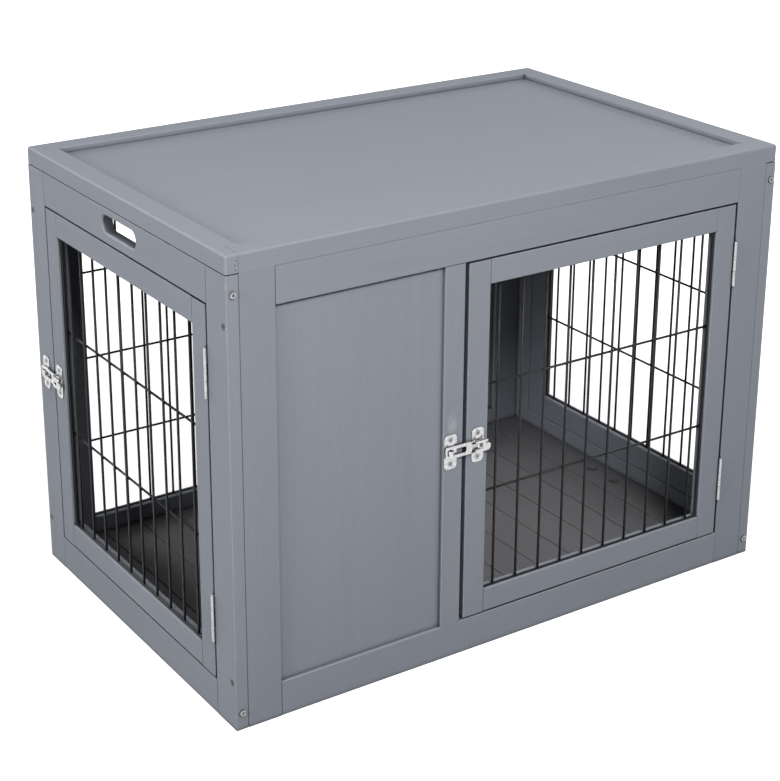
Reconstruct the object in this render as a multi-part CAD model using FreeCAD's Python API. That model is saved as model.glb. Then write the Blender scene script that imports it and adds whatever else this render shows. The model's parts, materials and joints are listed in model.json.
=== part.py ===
import FreeCAD, Part
import math
import os

from FreeCAD import Vector, Rotation, Placement

# Dog crate end table. Millimetres, +Z up, front at -Y, left end at -X.
# Everything is drawn with X from the left end, Y from the front face and Z from the ground,
# and moved at the end so that the origin is under the middle of the whole object.

# Case
case_width = 800.0
case_depth = 512.0
case_height = 577.0
board = 16.0
post_width = 45.0
stile_width = 45.0
rail_height = 45.0
centre_stile_width = 28.3
edge_easing = 0.8

# Cap and its sunk tray
cap_thickness = 22.0
cap_rail_width = 30.0
cap_corner_radius = 3.0
cap_inner_radius = 1.5
cap_end_width = 16.0
tray_depth = 7.5
top_panel_thickness = 9.0
top_panel_tongue = 7.0
top_panel_rebate = 3.0
cap_shadow_gap = 1.0

# Joinery
tenon_length = 10.0
tenon_thickness = 6.0
tenon_shoulder = 6.0
mortise_clearance = 0.2
dowel_radius = 3.0
dowel_in_frame = 20.0
dowel_in_cap = 12.0
dowel_end_inset = 120.0
dowel_clearance = 0.1

# Sunk panels of the front and back frames
panel_thickness = 5.0
panel_recess = 5.0
panel_tongue = 7.0
panel_clearance = 0.3

# Handle slot through the end frames' top rails
handle_length = 88.0
handle_height = 21.5
handle_below_top = 10.0
handle_lip = 2.0

# Floor
floor_top = 23.0
floor_thickness = 8.0
floor_clearance = 0.5
plank_pitch = 54.86
plank_groove_width = 2.4
plank_groove_depth = 1.4
finger_hole_radius = 8.0
finger_hole_from_right = 40.0
finger_hole_spacing = 49.0
cleat_size = 12.0

# Doors and fixed sash
leaf_thickness = 15.0
door_stock = 31.0
sash_stock = 34.0
door_gap = 2.0
hinge_gap = 3.2
front_latch_gap = 5.5
end_latch_gap = 2.3

# Wire grilles, set in a kerf round each opening
frame_wire_radius = 2.0
frame_wire_depth = 6.0
frame_wire_outset = 0.4
bar_radius = 1.6
bar_pitch = 35.4
cross_radius = 1.5
cross_end_gap = 0.3
leaf_cross_count = 2
leaf_cross_spacing = 139.5
back_cross_count = 3
back_cross_spacing = 120.0
kerf_width = 4.4
kerf_depth = 2.8

# Butt hinges
hinge_length = 60.0
hinge_end_inset = 49.0
hinge_leaf_thickness = 1.2
hinge_leaf_depth = 12.5
hinge_axis_out = 1.8
knuckle_radius = 2.1
knuckle_count = 3
knuckle_gap = 0.2
knuckle_swing_clearance = 0.3
hinge_pin_radius = 1.1
hinge_pin_head_radius = 1.9
hinge_pin_head_height = 0.8
running_clearance = 0.05

# Flats that stand for a round. Only the pins and bosses that joints turn on are drawn round.
rod_sides = 8
wire_sides = 6

# Toggle latch: its plates, lever and slotted strap
latch_plate_length = 45.0
latch_plate_thickness = 1.2
latch_plate_corner = 6.0
latch_screw_spacing = 31.0
latch_screw_hole_radius = 2.0
keeper_width = 18.4
keeper_from_edge = 14.7
tongue_thickness = 1.5
tongue_width = 6.0
tongue_height = 7.0
tongue_root_radius = 1.6
base_width = 17.7
base_from_edge = 7.1
pivot_height = 3.8
ear_radius = 2.2
ear_thickness = 1.0
ear_clearance = 0.2
boss_radius = 1.5
lever_length = 21.4
lever_width = 14.6
lever_plate_thickness = 1.2
lever_plate_rise = 2.4
lever_plate_lead = 0.6
lever_cheek_thickness = 1.0
lever_cheek_drop = 1.4
lever_cheek_end_gap = 9.0
thumb_tab_length = 7.0
thumb_tab_width = 9.8
thumb_tab_corner = 4.0
lever_ear_length = 3.5
lever_ear_width = 3.7
lever_ear_corner = 1.7
link_arm = 6.0
over_centre_drop = 0.3
strap_width = 16.0
strap_thickness = 1.2
strap_from_ear = 1.4
strap_end_bar = 3.2
strap_end_corner = 3.0
strap_bar_clearance = 1.0
strap_slot_width = 7.5
strap_slot_length = 27.3
strap_slot_corner = 2.0
neck_width = 6.2
neck_slot_clearance = 0.65
neck_slot_reach = 4.2
eye_radius = 1.9
link_pin_radius = 1.0

# Case bolts, driven through the posts into the ends of the end rails
bolt_radius = 2.5
bolt_length = 68.0
bolt_head_radius = 4.0
bolt_head_height = 2.2
bolt_head_easing = 0.7
bolt_socket_flats = 3.0
bolt_socket_depth = 1.4
bolt_clearance = 0.1

# Countersunk screws, driven through the posts into the frames' outer stiles
screw_radius = 2.0
screw_length = 38.0
screw_head_radius = 4.0
screw_head_depth = 2.2
screw_from_rail = 15.0
screw_clearance = 0.1

# Sizes that follow from the ones above
frame_height = case_height - cap_thickness
end_frame_height = frame_height - cap_shadow_gap
opening_low = rail_height
opening_high = frame_height - rail_height
door_width = case_depth - 2 * post_width - hinge_gap - end_latch_gap
door_height = opening_high - opening_low - 2 * door_gap
doorway_width = door_width + hinge_gap + front_latch_gap
doorway_right = case_width - board - stile_width
doorway_left = doorway_right - doorway_width
centre_stile_left = doorway_left - centre_stile_width
panel_left = board + stile_width
tray_floor = case_height - tray_depth

knuckle_length = hinge_length / knuckle_count
hinge_x = door_width + hinge_gap / 2
hinge_starts = [hinge_end_inset, door_height - hinge_end_inset - hinge_length]

latch_z = door_height / 2
base_left = base_from_edge
pivot_x = base_left + ear_radius
link_pivot_x = pivot_x + link_arm
link_pivot_height = pivot_height - over_centre_drop
lever_plate_low = pivot_height + lever_plate_rise
lever_plate_high = lever_plate_low + lever_plate_thickness
keeper_right = -keeper_from_edge
keeper_left = keeper_right - keeper_width
strap_left = keeper_left
strap_shoulder = base_left - strap_from_ear
tongue_left = strap_left + strap_end_bar + strap_bar_clearance
hardware_standout = max(lever_plate_high, tongue_height, hinge_axis_out + knuckle_radius)

cross_depth = frame_wire_depth + bar_radius + cross_radius

# The hardware stands out of the front and the left end, and the bolt heads out of the back.
origin_x = (case_width - hardware_standout) / 2
origin_y = (case_depth + bolt_head_height - hardware_standout) / 2


def box(x_span, y_span, z_span):
    corner = Vector(x_span[0], y_span[0], z_span[0])
    return Part.makeBox(x_span[1] - x_span[0], y_span[1] - y_span[0], z_span[1] - z_span[0], corner)


def edges_along(shape, direction):
    found = []
    for edge in shape.Edges:
        run = edge.Vertexes[-1].Point - edge.Vertexes[0].Point
        if run.Length > 0 and abs(run.dot(direction)) > 0.999 * run.Length:
            found.append(edge)
    return found


def eased_board(x_span, y_span, z_span, grain):
    # A planed board: its four long edges are eased, its ends are cut square.
    blank = box(x_span, y_span, z_span)
    return blank.makeChamfer(edge_easing, edges_along(blank, grain))


def grown(span, amount):
    return (span[0] - amount, span[1] + amount)


def middle_of(span, thickness):
    middle = (span[0] + span[1]) / 2
    return (middle - thickness / 2, middle + thickness / 2)


def rail_tenons(x_span, y_span, z_span, grow):
    return box(grown(x_span, tenon_length + grow),
               grown(middle_of(y_span, tenon_thickness), grow),
               grown(z_span, grow - tenon_shoulder))


def stile_tenons(x_span, y_span, z_span, grow):
    return box(grown(x_span, grow - tenon_shoulder),
               grown(middle_of(y_span, tenon_thickness), grow),
               grown(z_span, tenon_length + grow))


def tenoned_rail(x_span, y_span, z_span):
    rail = eased_board(x_span, y_span, z_span, Vector(1, 0, 0))
    return rail.fuse(rail_tenons(x_span, y_span, z_span, 0.0)).removeSplitter()


def corners_round(centre, axis, radius, sides):
    # The corners of a polygon across X, Y or Z, whose flats are at the radius.
    facing = Vector(0, 0, 1) if axis.y else Vector(0, 1, 0)
    across = Vector(axis).normalize().cross(facing)
    reach = radius / math.cos(math.pi / sides)
    corners = []
    for step in range(sides):
        turn = math.pi * (2 * step + 1) / sides
        corners.append(centre + facing * (reach * math.cos(turn)) + across * (reach * math.sin(turn)))
    return corners


def polygon_face(corners):
    return Part.Face(Part.makePolygon(corners + corners[:1]))


def prism(start, end, radius, sides):
    axis = end - start
    return polygon_face(corners_round(start, axis, radius, sides)).extrude(axis)


def pin(start, end, radius):
    return Part.makeCylinder(radius, (end - start).Length, start, end - start)


def rod(start, end, radius):
    # A shank or dowel that sits in a bore: its corners are at the radius.
    return prism(start, end, radius * math.cos(math.pi / rod_sides), rod_sides)


def barrel(start, end, radius):
    # The outside of a barrel or the bore in one: its flats are at the radius.
    return prism(start, end, radius, rod_sides)


def countersink(start, end, mouth_radius, hole_radius):
    mouth = corners_round(start, end - start, mouth_radius, rod_sides)
    bottom = corners_round(end, end - start, hole_radius, rod_sides)
    faces = [polygon_face(mouth), polygon_face(bottom)]
    for index in range(rod_sides):
        before = index - 1
        faces.append(polygon_face([mouth[before], mouth[index], bottom[index], bottom[before]]))
    solid = Part.makeSolid(Part.makeShell(faces))
    return solid if solid.Volume > 0 else solid.reversed()


def frame_wire(width, height):
    # Four straight wires welded into a ring, half sunk in the kerf round the opening.
    radius = frame_wire_radius
    x_span = grown((0.0, width), frame_wire_outset)
    z_span = grown((0.0, height), frame_wire_outset)
    y_span = (frame_wire_depth - radius, frame_wire_depth + radius)
    ring = box(grown(x_span, radius), y_span, grown(z_span, radius))
    ring = ring.cut(box(grown(x_span, -radius), y_span, grown(z_span, -radius)))
    corners = edges_along(ring, Vector(1, 0, 0)) + edges_along(ring, Vector(0, 0, 1))
    return ring.makeChamfer(radius * (1 - math.tan(math.pi / rod_sides)), corners)


def wire_grille(width, height, cross_count, cross_spacing):
    # Upright bars butt onto the frame wire, cross wires are welded on behind both.
    pieces = []
    bar_count = max(2, round(width / bar_pitch))
    pitch = width / bar_count
    for index in range(bar_count):
        x = (index + 0.5) * pitch
        foot = Vector(x, frame_wire_depth, -frame_wire_outset)
        head = Vector(x, frame_wire_depth, height + frame_wire_outset)
        pieces.append(prism(foot, head, bar_radius, wire_sides))
    for index in range(cross_count):
        z = height / 2 + (index - (cross_count - 1) / 2) * cross_spacing
        left = Vector(cross_end_gap, cross_depth, z)
        right = Vector(width - cross_end_gap, cross_depth, z)
        pieces.append(prism(left, right, cross_radius, wire_sides))
    return frame_wire(width, height).fuse(pieces)


def kerf(width, height):
    return box(grown((0.0, width), kerf_depth),
               middle_of((frame_wire_depth, frame_wire_depth), kerf_width),
               grown((0.0, height), kerf_depth))


def grilled_leaf(width, height, stock):
    # A stile-and-rail frame, outer face at y = 0, with its grille in the kerf.
    # Returned left to right as seen from outside: two stiles, two rails, grille.
    thickness = (0.0, leaf_thickness)
    rail_span = (stock, width - stock)
    low_rail = (0.0, stock)
    high_rail = (height - stock, height)
    groove = kerf(width - 2 * stock, height - 2 * stock)
    groove.translate(Vector(stock, 0, stock))
    wooden = []
    for span in ((0.0, stock), (width - stock, width)):
        stile = eased_board(span, thickness, (0.0, height), Vector(0, 0, 1))
        for rail_height_span in (low_rail, high_rail):
            stile = stile.cut(rail_tenons(rail_span, thickness, rail_height_span, mortise_clearance))
        wooden.append(stile.cut(groove))
    for rail_height_span in (high_rail, low_rail):
        wooden.append(tenoned_rail(rail_span, thickness, rail_height_span).cut(groove))
    grille = wire_grille(width - 2 * stock, height - 2 * stock, leaf_cross_count, leaf_cross_spacing)
    grille.translate(Vector(stock, 0, stock))
    return wooden + [grille]


def sunk_panel(grow):
    return box(grown((panel_left, centre_stile_left), panel_tongue + grow),
               grown((panel_recess, panel_recess + panel_thickness), grow),
               grown((opening_low, opening_high), panel_tongue + grow))


def face_frame(grilled):
    # The front frame, between the end frames: panel on the left, doorway on the right.
    # The back frame is the same one turned round, with a grille in place of the door.
    thickness = (0.0, board)
    full_height = (0.0, frame_height)
    inner_height = (opening_low, opening_high)
    rail_span = (board + stile_width, case_width - board - stile_width)
    centre_span = (centre_stile_left, doorway_left)
    rails = {"bottom_rail": (0.0, rail_height), "top_rail": (opening_high, frame_height)}
    stiles = {"outer_stile": (board, board + stile_width),
              "hinge_stile": (doorway_right, doorway_right + stile_width)}
    pieces = {}
    for name, span in stiles.items():
        pieces[name] = eased_board(span, thickness, full_height, Vector(0, 0, 1))
        for rail_z in rails.values():
            pieces[name] = pieces[name].cut(rail_tenons(rail_span, thickness, rail_z, mortise_clearance))
    for name, rail_z in rails.items():
        rail = tenoned_rail(rail_span, thickness, rail_z)
        pieces[name] = rail.cut(stile_tenons(centre_span, thickness, inner_height, mortise_clearance))
    centre = eased_board(centre_span, thickness, inner_height, Vector(0, 0, 1))
    pieces["centre_stile"] = centre.fuse(stile_tenons(centre_span, thickness, inner_height, 0.0))
    groove = sunk_panel(panel_clearance)
    if grilled:
        ring = kerf(doorway_width, opening_high - opening_low)
        ring.translate(Vector(doorway_left, 0, opening_low))
        groove = groove.fuse(ring)
    for name in pieces:
        pieces[name] = pieces[name].cut(groove)
    pieces["panel"] = sunk_panel(0.0)
    return pieces


def back_grille():
    grille = wire_grille(doorway_width, opening_high - opening_low, back_cross_count, back_cross_spacing)
    grille.translate(Vector(doorway_left, 0, opening_low))
    return grille


def turned_round(shape):
    # Half a turn about the middle of the case: the back from the front, the right end from the left.
    turned = shape.copy()
    turned.rotate(Vector(case_width / 2, case_depth / 2, 0), Vector(0, 0, 1), 180)
    return turned


def stadium_wire(x, y_span, z_span):
    radius = (z_span[1] - z_span[0]) / 2
    z = (z_span[0] + z_span[1]) / 2
    front = y_span[0] + radius
    rear = y_span[1] - radius
    low_front = Vector(x, front, z - radius)
    high_front = Vector(x, front, z + radius)
    low_rear = Vector(x, rear, z - radius)
    high_rear = Vector(x, rear, z + radius)
    front_arc = Part.Arc(high_front, Vector(x, y_span[0], z), low_front).toShape()
    rear_arc = Part.Arc(low_rear, Vector(x, y_span[1], z), high_rear).toShape()
    low_line = Part.LineSegment(low_front, low_rear).toShape()
    high_line = Part.LineSegment(high_rear, high_front).toShape()
    return Part.Wire([front_arc, low_line, rear_arc, high_line])


def with_handle_slot(rail):
    # A round-ended slot from face to face, with eased lips.
    high = end_frame_height - handle_below_top
    z_span = (high - handle_height, high)
    y_span = middle_of((0.0, case_depth), handle_length)
    slot = Part.Face(stadium_wire(0.0, y_span, z_span)).extrude(Vector(board, 0, 0))
    rail = rail.cut(slot)
    lips = []
    for edge in rail.Edges:
        centre = edge.CenterOfMass
        in_slot = y_span[0] - 1 < centre.y < y_span[1] + 1 and z_span[0] - 1 < centre.z < z_span[1] + 1
        if in_slot and edge.BoundBox.XLength < 0.01:
            lips.append(edge)
    return rail.makeChamfer(handle_lip, lips)


def end_frame():
    # Posts run the full height, rails are bolted between them.
    thickness = (0.0, board)
    rail_span = (post_width, case_depth - post_width)
    front_post = eased_board(thickness, (0.0, post_width), (0.0, end_frame_height), Vector(0, 0, 1))
    back_post = eased_board(thickness, (case_depth - post_width, case_depth),
                            (0.0, end_frame_height), Vector(0, 0, 1))
    bottom = eased_board(thickness, rail_span, (0.0, rail_height), Vector(0, 1, 0))
    top = eased_board(thickness, rail_span, (opening_high, end_frame_height), Vector(0, 1, 0))
    return {"front_post": front_post, "back_post": back_post,
            "bottom_rail": bottom, "top_rail": with_handle_slot(top)}


def cap_blank():
    # The cap is glued up first and its outer edges are rounded in one pass.
    blank = box((0.0, case_width), (0.0, case_depth), (frame_height, case_height))
    corners = edges_along(blank, Vector(0, 0, 1))
    blank = blank.makeFillet(cap_corner_radius, corners)
    top = max(blank.Faces, key=lambda side: side.CenterOfMass.z)
    blank = blank.makeFillet(cap_corner_radius, top.Edges)
    tray = box(grown((0.0, case_width), -cap_rail_width), grown((0.0, case_depth), -cap_rail_width),
               (frame_height, case_height))
    blank = blank.cut(tray)
    top = max(blank.Faces, key=lambda side: side.CenterOfMass.z)
    inner = [wire for wire in top.Wires if not wire.isSame(top.OuterWire)][0]
    return blank.makeFillet(cap_inner_radius, inner.Edges)


def top_panel():
    # Its top is rebated, so that only a thinner tongue runs in the rails' groove.
    field = box(grown((cap_rail_width, case_width - cap_rail_width), -panel_clearance),
                grown((cap_rail_width, case_depth - cap_rail_width), -panel_clearance),
                (tray_floor - top_panel_thickness, tray_floor))
    return field.fuse(top_panel_tongues(0.0)).removeSplitter()


def top_panel_tongues(grow):
    return box(grown((cap_rail_width, case_width - cap_rail_width), top_panel_tongue + grow),
               grown((cap_rail_width, case_depth - cap_rail_width), top_panel_tongue + grow),
               grown((tray_floor - top_panel_thickness, tray_floor - top_panel_rebate), grow))


def cap_rails():
    # The side rails run to the front and back faces. Their ends are cut back to a narrow
    # tongue, and the front and back rails lap into the cut.
    height = (frame_height, case_height)
    ring = cap_blank().cut(top_panel_tongues(panel_clearance))
    front_area = box((cap_end_width, case_width - cap_end_width), (0.0, cap_rail_width), height)
    back_area = turned_round(front_area)
    left_area = box((0.0, cap_rail_width), (0.0, case_depth), height).cut(front_area).cut(back_area)
    areas = {"front": front_area, "back": back_area,
             "left": left_area, "right": turned_round(left_area)}
    return {side: ring.common(area) for side, area in areas.items()}


def floor_board():
    # A loose grooved board that lies on two cleats and lifts out by its finger holes.
    x_span = grown((board, case_width - board), -floor_clearance)
    y_span = grown((board, case_depth - board), -floor_clearance)
    sheet = box(x_span, y_span, (floor_top - floor_thickness, floor_top))
    groove_count = math.ceil((case_width - 2 * board) / plank_pitch) - 1
    half = plank_groove_width / 2
    for index in range(groove_count):
        x = board + (index + 1) * plank_pitch
        if x > x_span[1] - plank_groove_width:
            continue
        corners = [Vector(x - half, y_span[0], floor_top), Vector(x + half, y_span[0], floor_top),
                   Vector(x, y_span[0], floor_top - plank_groove_depth)]
        notch = Part.Face(Part.makePolygon(corners + corners[:1]))
        sheet = sheet.cut(notch.extrude(Vector(0, y_span[1] - y_span[0], 0)))
    for side in (-1, 1):
        centre = Vector(case_width - finger_hole_from_right,
                        case_depth / 2 + side * finger_hole_spacing / 2,
                        floor_top - floor_thickness)
        sheet = sheet.cut(Part.makeCylinder(finger_hole_radius, floor_thickness, centre))
    return sheet


def floor_cleats():
    x_span = grown((board, case_width - board), -floor_clearance)
    z_span = (floor_top - floor_thickness - cleat_size, floor_top - floor_thickness)
    front = box(x_span, (board, board + cleat_size), z_span)
    return [front, turned_round(front)]


def case_bolt():
    # Drawn along +Y with the underside of its head at y = 0.
    outward = Vector(0, -bolt_head_height, 0)
    head = rod(Vector(0, 0, 0), outward, bolt_head_radius)
    rim = [edge for edge in head.Edges if edge.BoundBox.YMax < 0.01 - bolt_head_height]
    head = head.makeChamfer(bolt_head_easing, rim)
    shank = rod(Vector(0, 0, 0), Vector(0, bolt_length, 0), bolt_radius)
    bottom = Vector(0, bolt_socket_depth - bolt_head_height, 0)
    socket = prism(outward, bottom, bolt_socket_flats / 2, 6)
    return shank.fuse(head).removeSplitter().cut(socket)


def bolt_hole():
    return barrel(Vector(0, 0, 0), Vector(0, bolt_length + bolt_clearance, 0), bolt_radius + bolt_clearance)


def case_screw():
    # Drawn along +X with its countersunk head flush at x = 0.
    neck = Vector(screw_head_depth, 0, 0)
    head = countersink(Vector(0, 0, 0), neck, screw_head_radius, screw_radius)
    shank = barrel(neck, Vector(screw_length, 0, 0), screw_radius)
    return head.fuse(shank).removeSplitter()


def screw_hole():
    neck = Vector(screw_head_depth, 0, 0)
    mouth = countersink(Vector(0, 0, 0), neck, screw_head_radius + screw_clearance,
                        screw_radius + screw_clearance)
    hole = barrel(neck, Vector(screw_length + screw_clearance, 0, 0), screw_radius + screw_clearance)
    return mouth.fuse(hole)


def at_bolt_heights(bolt):
    # Over the middles of the left end frame's two rails.
    copies = []
    for z in (rail_height / 2, (opening_high + end_frame_height) / 2):
        copies.append(bolt.translated(Vector(board / 2, 0, z)))
    return copies


def mirrored_to_back(shape):
    return shape.mirror(Vector(0, case_depth / 2, 0), Vector(0, 1, 0))


def at_screw_heights(screw):
    copies = []
    for z in (opening_low + screw_from_rail, opening_high - screw_from_rail):
        copies.append(screw.translated(Vector(0, board / 2, z)))
    return copies


def at_four_corners(shapes):
    left = shapes + [mirrored_to_back(shape) for shape in shapes]
    return left + [turned_round(shape) for shape in left]


def at_dowel_places(dowel):
    places = [(dowel_end_inset, board / 2), (case_width - dowel_end_inset, board / 2),
              (board / 2, dowel_end_inset), (board / 2, case_depth - dowel_end_inset)]
    dowels = [dowel.translated(Vector(x, y, 0)) for x, y in places]
    return dowels + [turned_round(dowel) for dowel in dowels]


def cap_dowel():
    low = Vector(0, 0, frame_height - dowel_in_frame)
    return rod(low, Vector(0, 0, frame_height + dowel_in_cap), dowel_radius)


def dowel_hole():
    low = Vector(0, 0, frame_height - dowel_in_frame)
    return barrel(low, Vector(0, 0, frame_height + dowel_in_cap + dowel_clearance),
                dowel_radius + dowel_clearance)


def hinge_point(height):
    return Vector(hinge_x, -hinge_axis_out, height)


def hinge_leaf(start, plate_x, own_turn, pin_hole):
    # A flat leaf in the gap, joined to every second knuckle and cut clear of the others.
    y_span = (-hinge_axis_out, hinge_leaf_depth)
    leaf = box(plate_x, y_span, (start, start + hinge_length))
    for index in range(knuckle_count):
        low = start + index * knuckle_length
        high = low + knuckle_length
        if index % 2 == own_turn:
            knuckle = barrel(hinge_point(low + knuckle_gap / 2), hinge_point(high - knuckle_gap / 2),
                           knuckle_radius)
            leaf = leaf.fuse(knuckle)
        else:
            swing = knuckle_radius + knuckle_swing_clearance
            leaf = leaf.cut(barrel(hinge_point(low - knuckle_gap / 2), hinge_point(high + knuckle_gap / 2),
                                 swing))
    return leaf.cut(pin_hole)


def door_hinge_leaves():
    # These turn on the pins.
    plate_x = (door_width, door_width + hinge_leaf_thickness)
    leaves = []
    for start in hinge_starts:
        ends = (hinge_point(start), hinge_point(start + hinge_length))
        leaves.append(hinge_leaf(start, plate_x, 1, barrel(*ends, hinge_pin_radius + running_clearance)))
    return leaves


def frame_hinge_leaves():
    # These grip the pins.
    jamb = door_width + hinge_gap
    plate_x = (jamb - hinge_leaf_thickness, jamb)
    leaves = []
    for start in hinge_starts:
        ends = (hinge_point(start), hinge_point(start + hinge_length))
        leaves.append(hinge_leaf(start, plate_x, 0, barrel(*ends, hinge_pin_radius)))
    return leaves


def hinge_pins():
    pins = []
    for start in hinge_starts:
        top = start + hinge_length
        shaft = pin(hinge_point(start), hinge_point(top), hinge_pin_radius)
        head = barrel(hinge_point(top), hinge_point(top + hinge_pin_head_height), hinge_pin_head_radius)
        pins.append(shaft.fuse(head).removeSplitter())
    return pins


def latch_plate(x_span):
    # A thin plate on the wood with round corners and two countersunk holes.
    z_span = middle_of((latch_z, latch_z), latch_plate_length)
    plate = box(x_span, (-latch_plate_thickness, 0.0), z_span)
    plate = plate.makeFillet(latch_plate_corner, edges_along(plate, Vector(0, 1, 0)))
    x = (x_span[0] + x_span[1]) / 2
    for side in (-1, 1):
        face = Vector(x, -latch_plate_thickness, latch_z + side * latch_screw_spacing / 2)
        mouth = latch_screw_hole_radius + latch_plate_thickness
        back = face + Vector(0, latch_plate_thickness, 0)
        plate = plate.cut(countersink(face, back, mouth, latch_screw_hole_radius))
    return plate


def latch_keeper():
    # The strap hooks over an upright tongue bent out of the plate.
    plate = latch_plate((keeper_left, keeper_right))
    z_span = middle_of((latch_z, latch_z), tongue_width)
    tongue = box((tongue_left, tongue_left + tongue_thickness), (-tongue_height, -latch_plate_thickness / 2), z_span)
    tips = [edge for edge in edges_along(tongue, Vector(1, 0, 0))
            if edge.CenterOfMass.y < 0.01 - tongue_height]
    tongue = tongue.makeFillet(tongue_width / 3, tips)
    keeper = plate.fuse(tongue)
    roots = [edge for edge in edges_along(keeper, Vector(0, 0, 1))
             if abs(edge.CenterOfMass.x - tongue_left - tongue_thickness) < 0.01
             and abs(edge.CenterOfMass.y + latch_plate_thickness) < 0.01]
    return keeper.makeFillet(tongue_root_radius, roots)


def latch_base():
    # The plate's two ears carry pressed bosses that the lever turns on.
    base = latch_plate((base_left, base_left + base_width))
    inner = lever_width / 2 + ear_clearance
    for side in (-1, 1):
        faces = sorted((side * inner, side * (inner + ear_thickness)))
        z_span = (latch_z + faces[0], latch_z + faces[1])
        ear = box((pivot_x - ear_radius, pivot_x + ear_radius), (-pivot_height, 0.0), z_span)
        ear = ear.fuse(barrel(*pivot_line(z_span), ear_radius))
        reach = lever_width / 2 - lever_cheek_thickness
        boss = sorted((latch_z + side * reach, latch_z + side * (inner + ear_thickness / 2)))
        base = base.fuse(ear).fuse(pin(*pivot_line(boss), boss_radius))
    return base.removeSplitter()


def pivot_line(z_span):
    return [Vector(pivot_x, -pivot_height, z) for z in z_span]


def link_pivot_line(z_span):
    return [Vector(link_pivot_x, -link_pivot_height, z) for z in z_span]


def rounded_plate(x_span, height_span, z_span, radius):
    plate = box(x_span, (-height_span[1], -height_span[0]), z_span)
    return plate.makeFillet(radius, edges_along(plate, Vector(0, 1, 0)))


def latch_lever():
    # A pressed channel. Its slot lets the strap's neck swing through, and its far end
    # narrows to a thumb tab with a small ear beside it.
    heights = (lever_plate_low, lever_plate_high)
    low = latch_z - lever_width / 2
    high = latch_z + lever_width / 2
    tip = pivot_x + lever_length
    waist = tip - thumb_tab_length
    plate = box((pivot_x - lever_plate_lead, waist), (-heights[1], -heights[0]), (low, high))
    tab_back = waist - thumb_tab_corner
    tab = rounded_plate((tab_back, tip), heights, (low, low + thumb_tab_width), thumb_tab_corner)
    ear_back = waist - lever_ear_length
    ear = rounded_plate((ear_back, waist + lever_ear_length), heights,
                        (high - lever_ear_width, high), lever_ear_corner)
    lever = plate.fuse([tab, ear])
    for side in (-1, 1):
        faces = sorted((side * (lever_width / 2 - lever_cheek_thickness), side * lever_width / 2))
        z_span = (latch_z + faces[0], latch_z + faces[1])
        cheek = box((pivot_x, tip - lever_cheek_end_gap),
                    (-heights[1], lever_cheek_drop - pivot_height), z_span)
        lever = lever.fuse(cheek).fuse(barrel(*pivot_line(z_span), ear_radius))
    slot = rounded_plate((pivot_x - lever_width, link_pivot_x + neck_slot_reach), heights,
                         middle_of((latch_z, latch_z), neck_width + 2 * neck_slot_clearance), 1.0)
    whole = (low, high)
    lever = lever.cut(slot)
    lever = lever.cut(barrel(*pivot_line(whole), boss_radius + running_clearance))
    lever = lever.cut(barrel(*link_pivot_line(whole), link_pin_radius))
    return lever.removeSplitter()


def latch_link():
    # A flat strap with a long slot, a narrow neck and a rolled eye round the link pin.
    half = strap_thickness / 2
    heights = (link_pivot_height - half, link_pivot_height + half)
    strap = rounded_plate((strap_left, strap_shoulder), heights,
                          middle_of((latch_z, latch_z), strap_width), strap_end_corner)
    slot_left = strap_left + strap_end_bar
    slot = rounded_plate((slot_left, slot_left + strap_slot_length), heights,
                         middle_of((latch_z, latch_z), strap_slot_width), strap_slot_corner)
    neck_z = middle_of((latch_z, latch_z), neck_width)
    neck = box((strap_shoulder - strap_end_corner, link_pivot_x),
               (-heights[1], -heights[0]), neck_z)
    eye = barrel(*link_pivot_line(neck_z), eye_radius)
    pin_hole = barrel(*link_pivot_line(neck_z), link_pin_radius + running_clearance)
    return strap.cut(slot).fuse([neck, eye]).removeSplitter().cut(pin_hole)


def latch_link_pin():
    return pin(*link_pivot_line(middle_of((latch_z, latch_z), lever_width)), link_pin_radius)


def door_places():
    # Both doors are the same unit: outer face at y = 0, latch edge at x = 0.
    front_x = doorway_right - hinge_gap - door_width
    end_y = post_width + hinge_gap + door_width
    low = opening_low + door_gap
    return {"front": Placement(Vector(front_x, 0, low), Rotation(Vector(0, 0, 1), 0)),
            "end": Placement(Vector(0, end_y, low), Rotation(Vector(0, 0, 1), -90))}


def placed(shape, placement):
    moved = shape.copy()
    moved.Placement = placement.multiply(moved.Placement)
    return moved


def build_ends(nodes):
    left = end_frame()
    holes = at_bolt_heights(bolt_hole()) + at_screw_heights(screw_hole())
    holes += [mirrored_to_back(hole) for hole in holes]
    holes += at_dowel_places(dowel_hole())
    opposite = {"front_post": "back_post", "back_post": "front_post",
                "bottom_rail": "bottom_rail", "top_rail": "top_rail"}
    for name, piece in left.items():
        drilled = piece.cut(holes)
        nodes["left_" + name] = drilled
        nodes["right_" + opposite[name]] = turned_round(drilled)


def build_faces(nodes):
    sides = {"front": {"outer_stile": "left_stile", "hinge_stile": "right_stile"},
             "back": {"outer_stile": "right_stile", "hinge_stile": "left_stile"}}
    holes = at_four_corners(at_screw_heights(screw_hole())) + at_dowel_places(dowel_hole())
    for side, names in sides.items():
        for name, piece in face_frame(side == "back").items():
            if side == "back":
                piece = turned_round(piece)
            nodes[side + "_" + names.get(name, name)] = piece.cut(holes)
    nodes["back_grille"] = turned_round(back_grille())


def build_cap(nodes):
    holes = at_dowel_places(dowel_hole())
    for side, rail in cap_rails().items():
        nodes["cap_rail_" + side] = rail.cut(holes)
    nodes["top_panel"] = top_panel()


def build_sash(nodes):
    # The right end has a fixed sash in place of the end door. Its low-x stile comes to the front.
    width = case_depth - 2 * post_width
    names = ["right_sash_front_stile", "right_sash_back_stile", "right_sash_top_rail",
             "right_sash_bottom_rail", "right_grille"]
    place = Placement(Vector(case_width, post_width, opening_low), Rotation(Vector(0, 0, 1), 90))
    for name, piece in zip(names, grilled_leaf(width, opening_high - opening_low, sash_stock)):
        nodes[name] = placed(piece, place)


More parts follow.
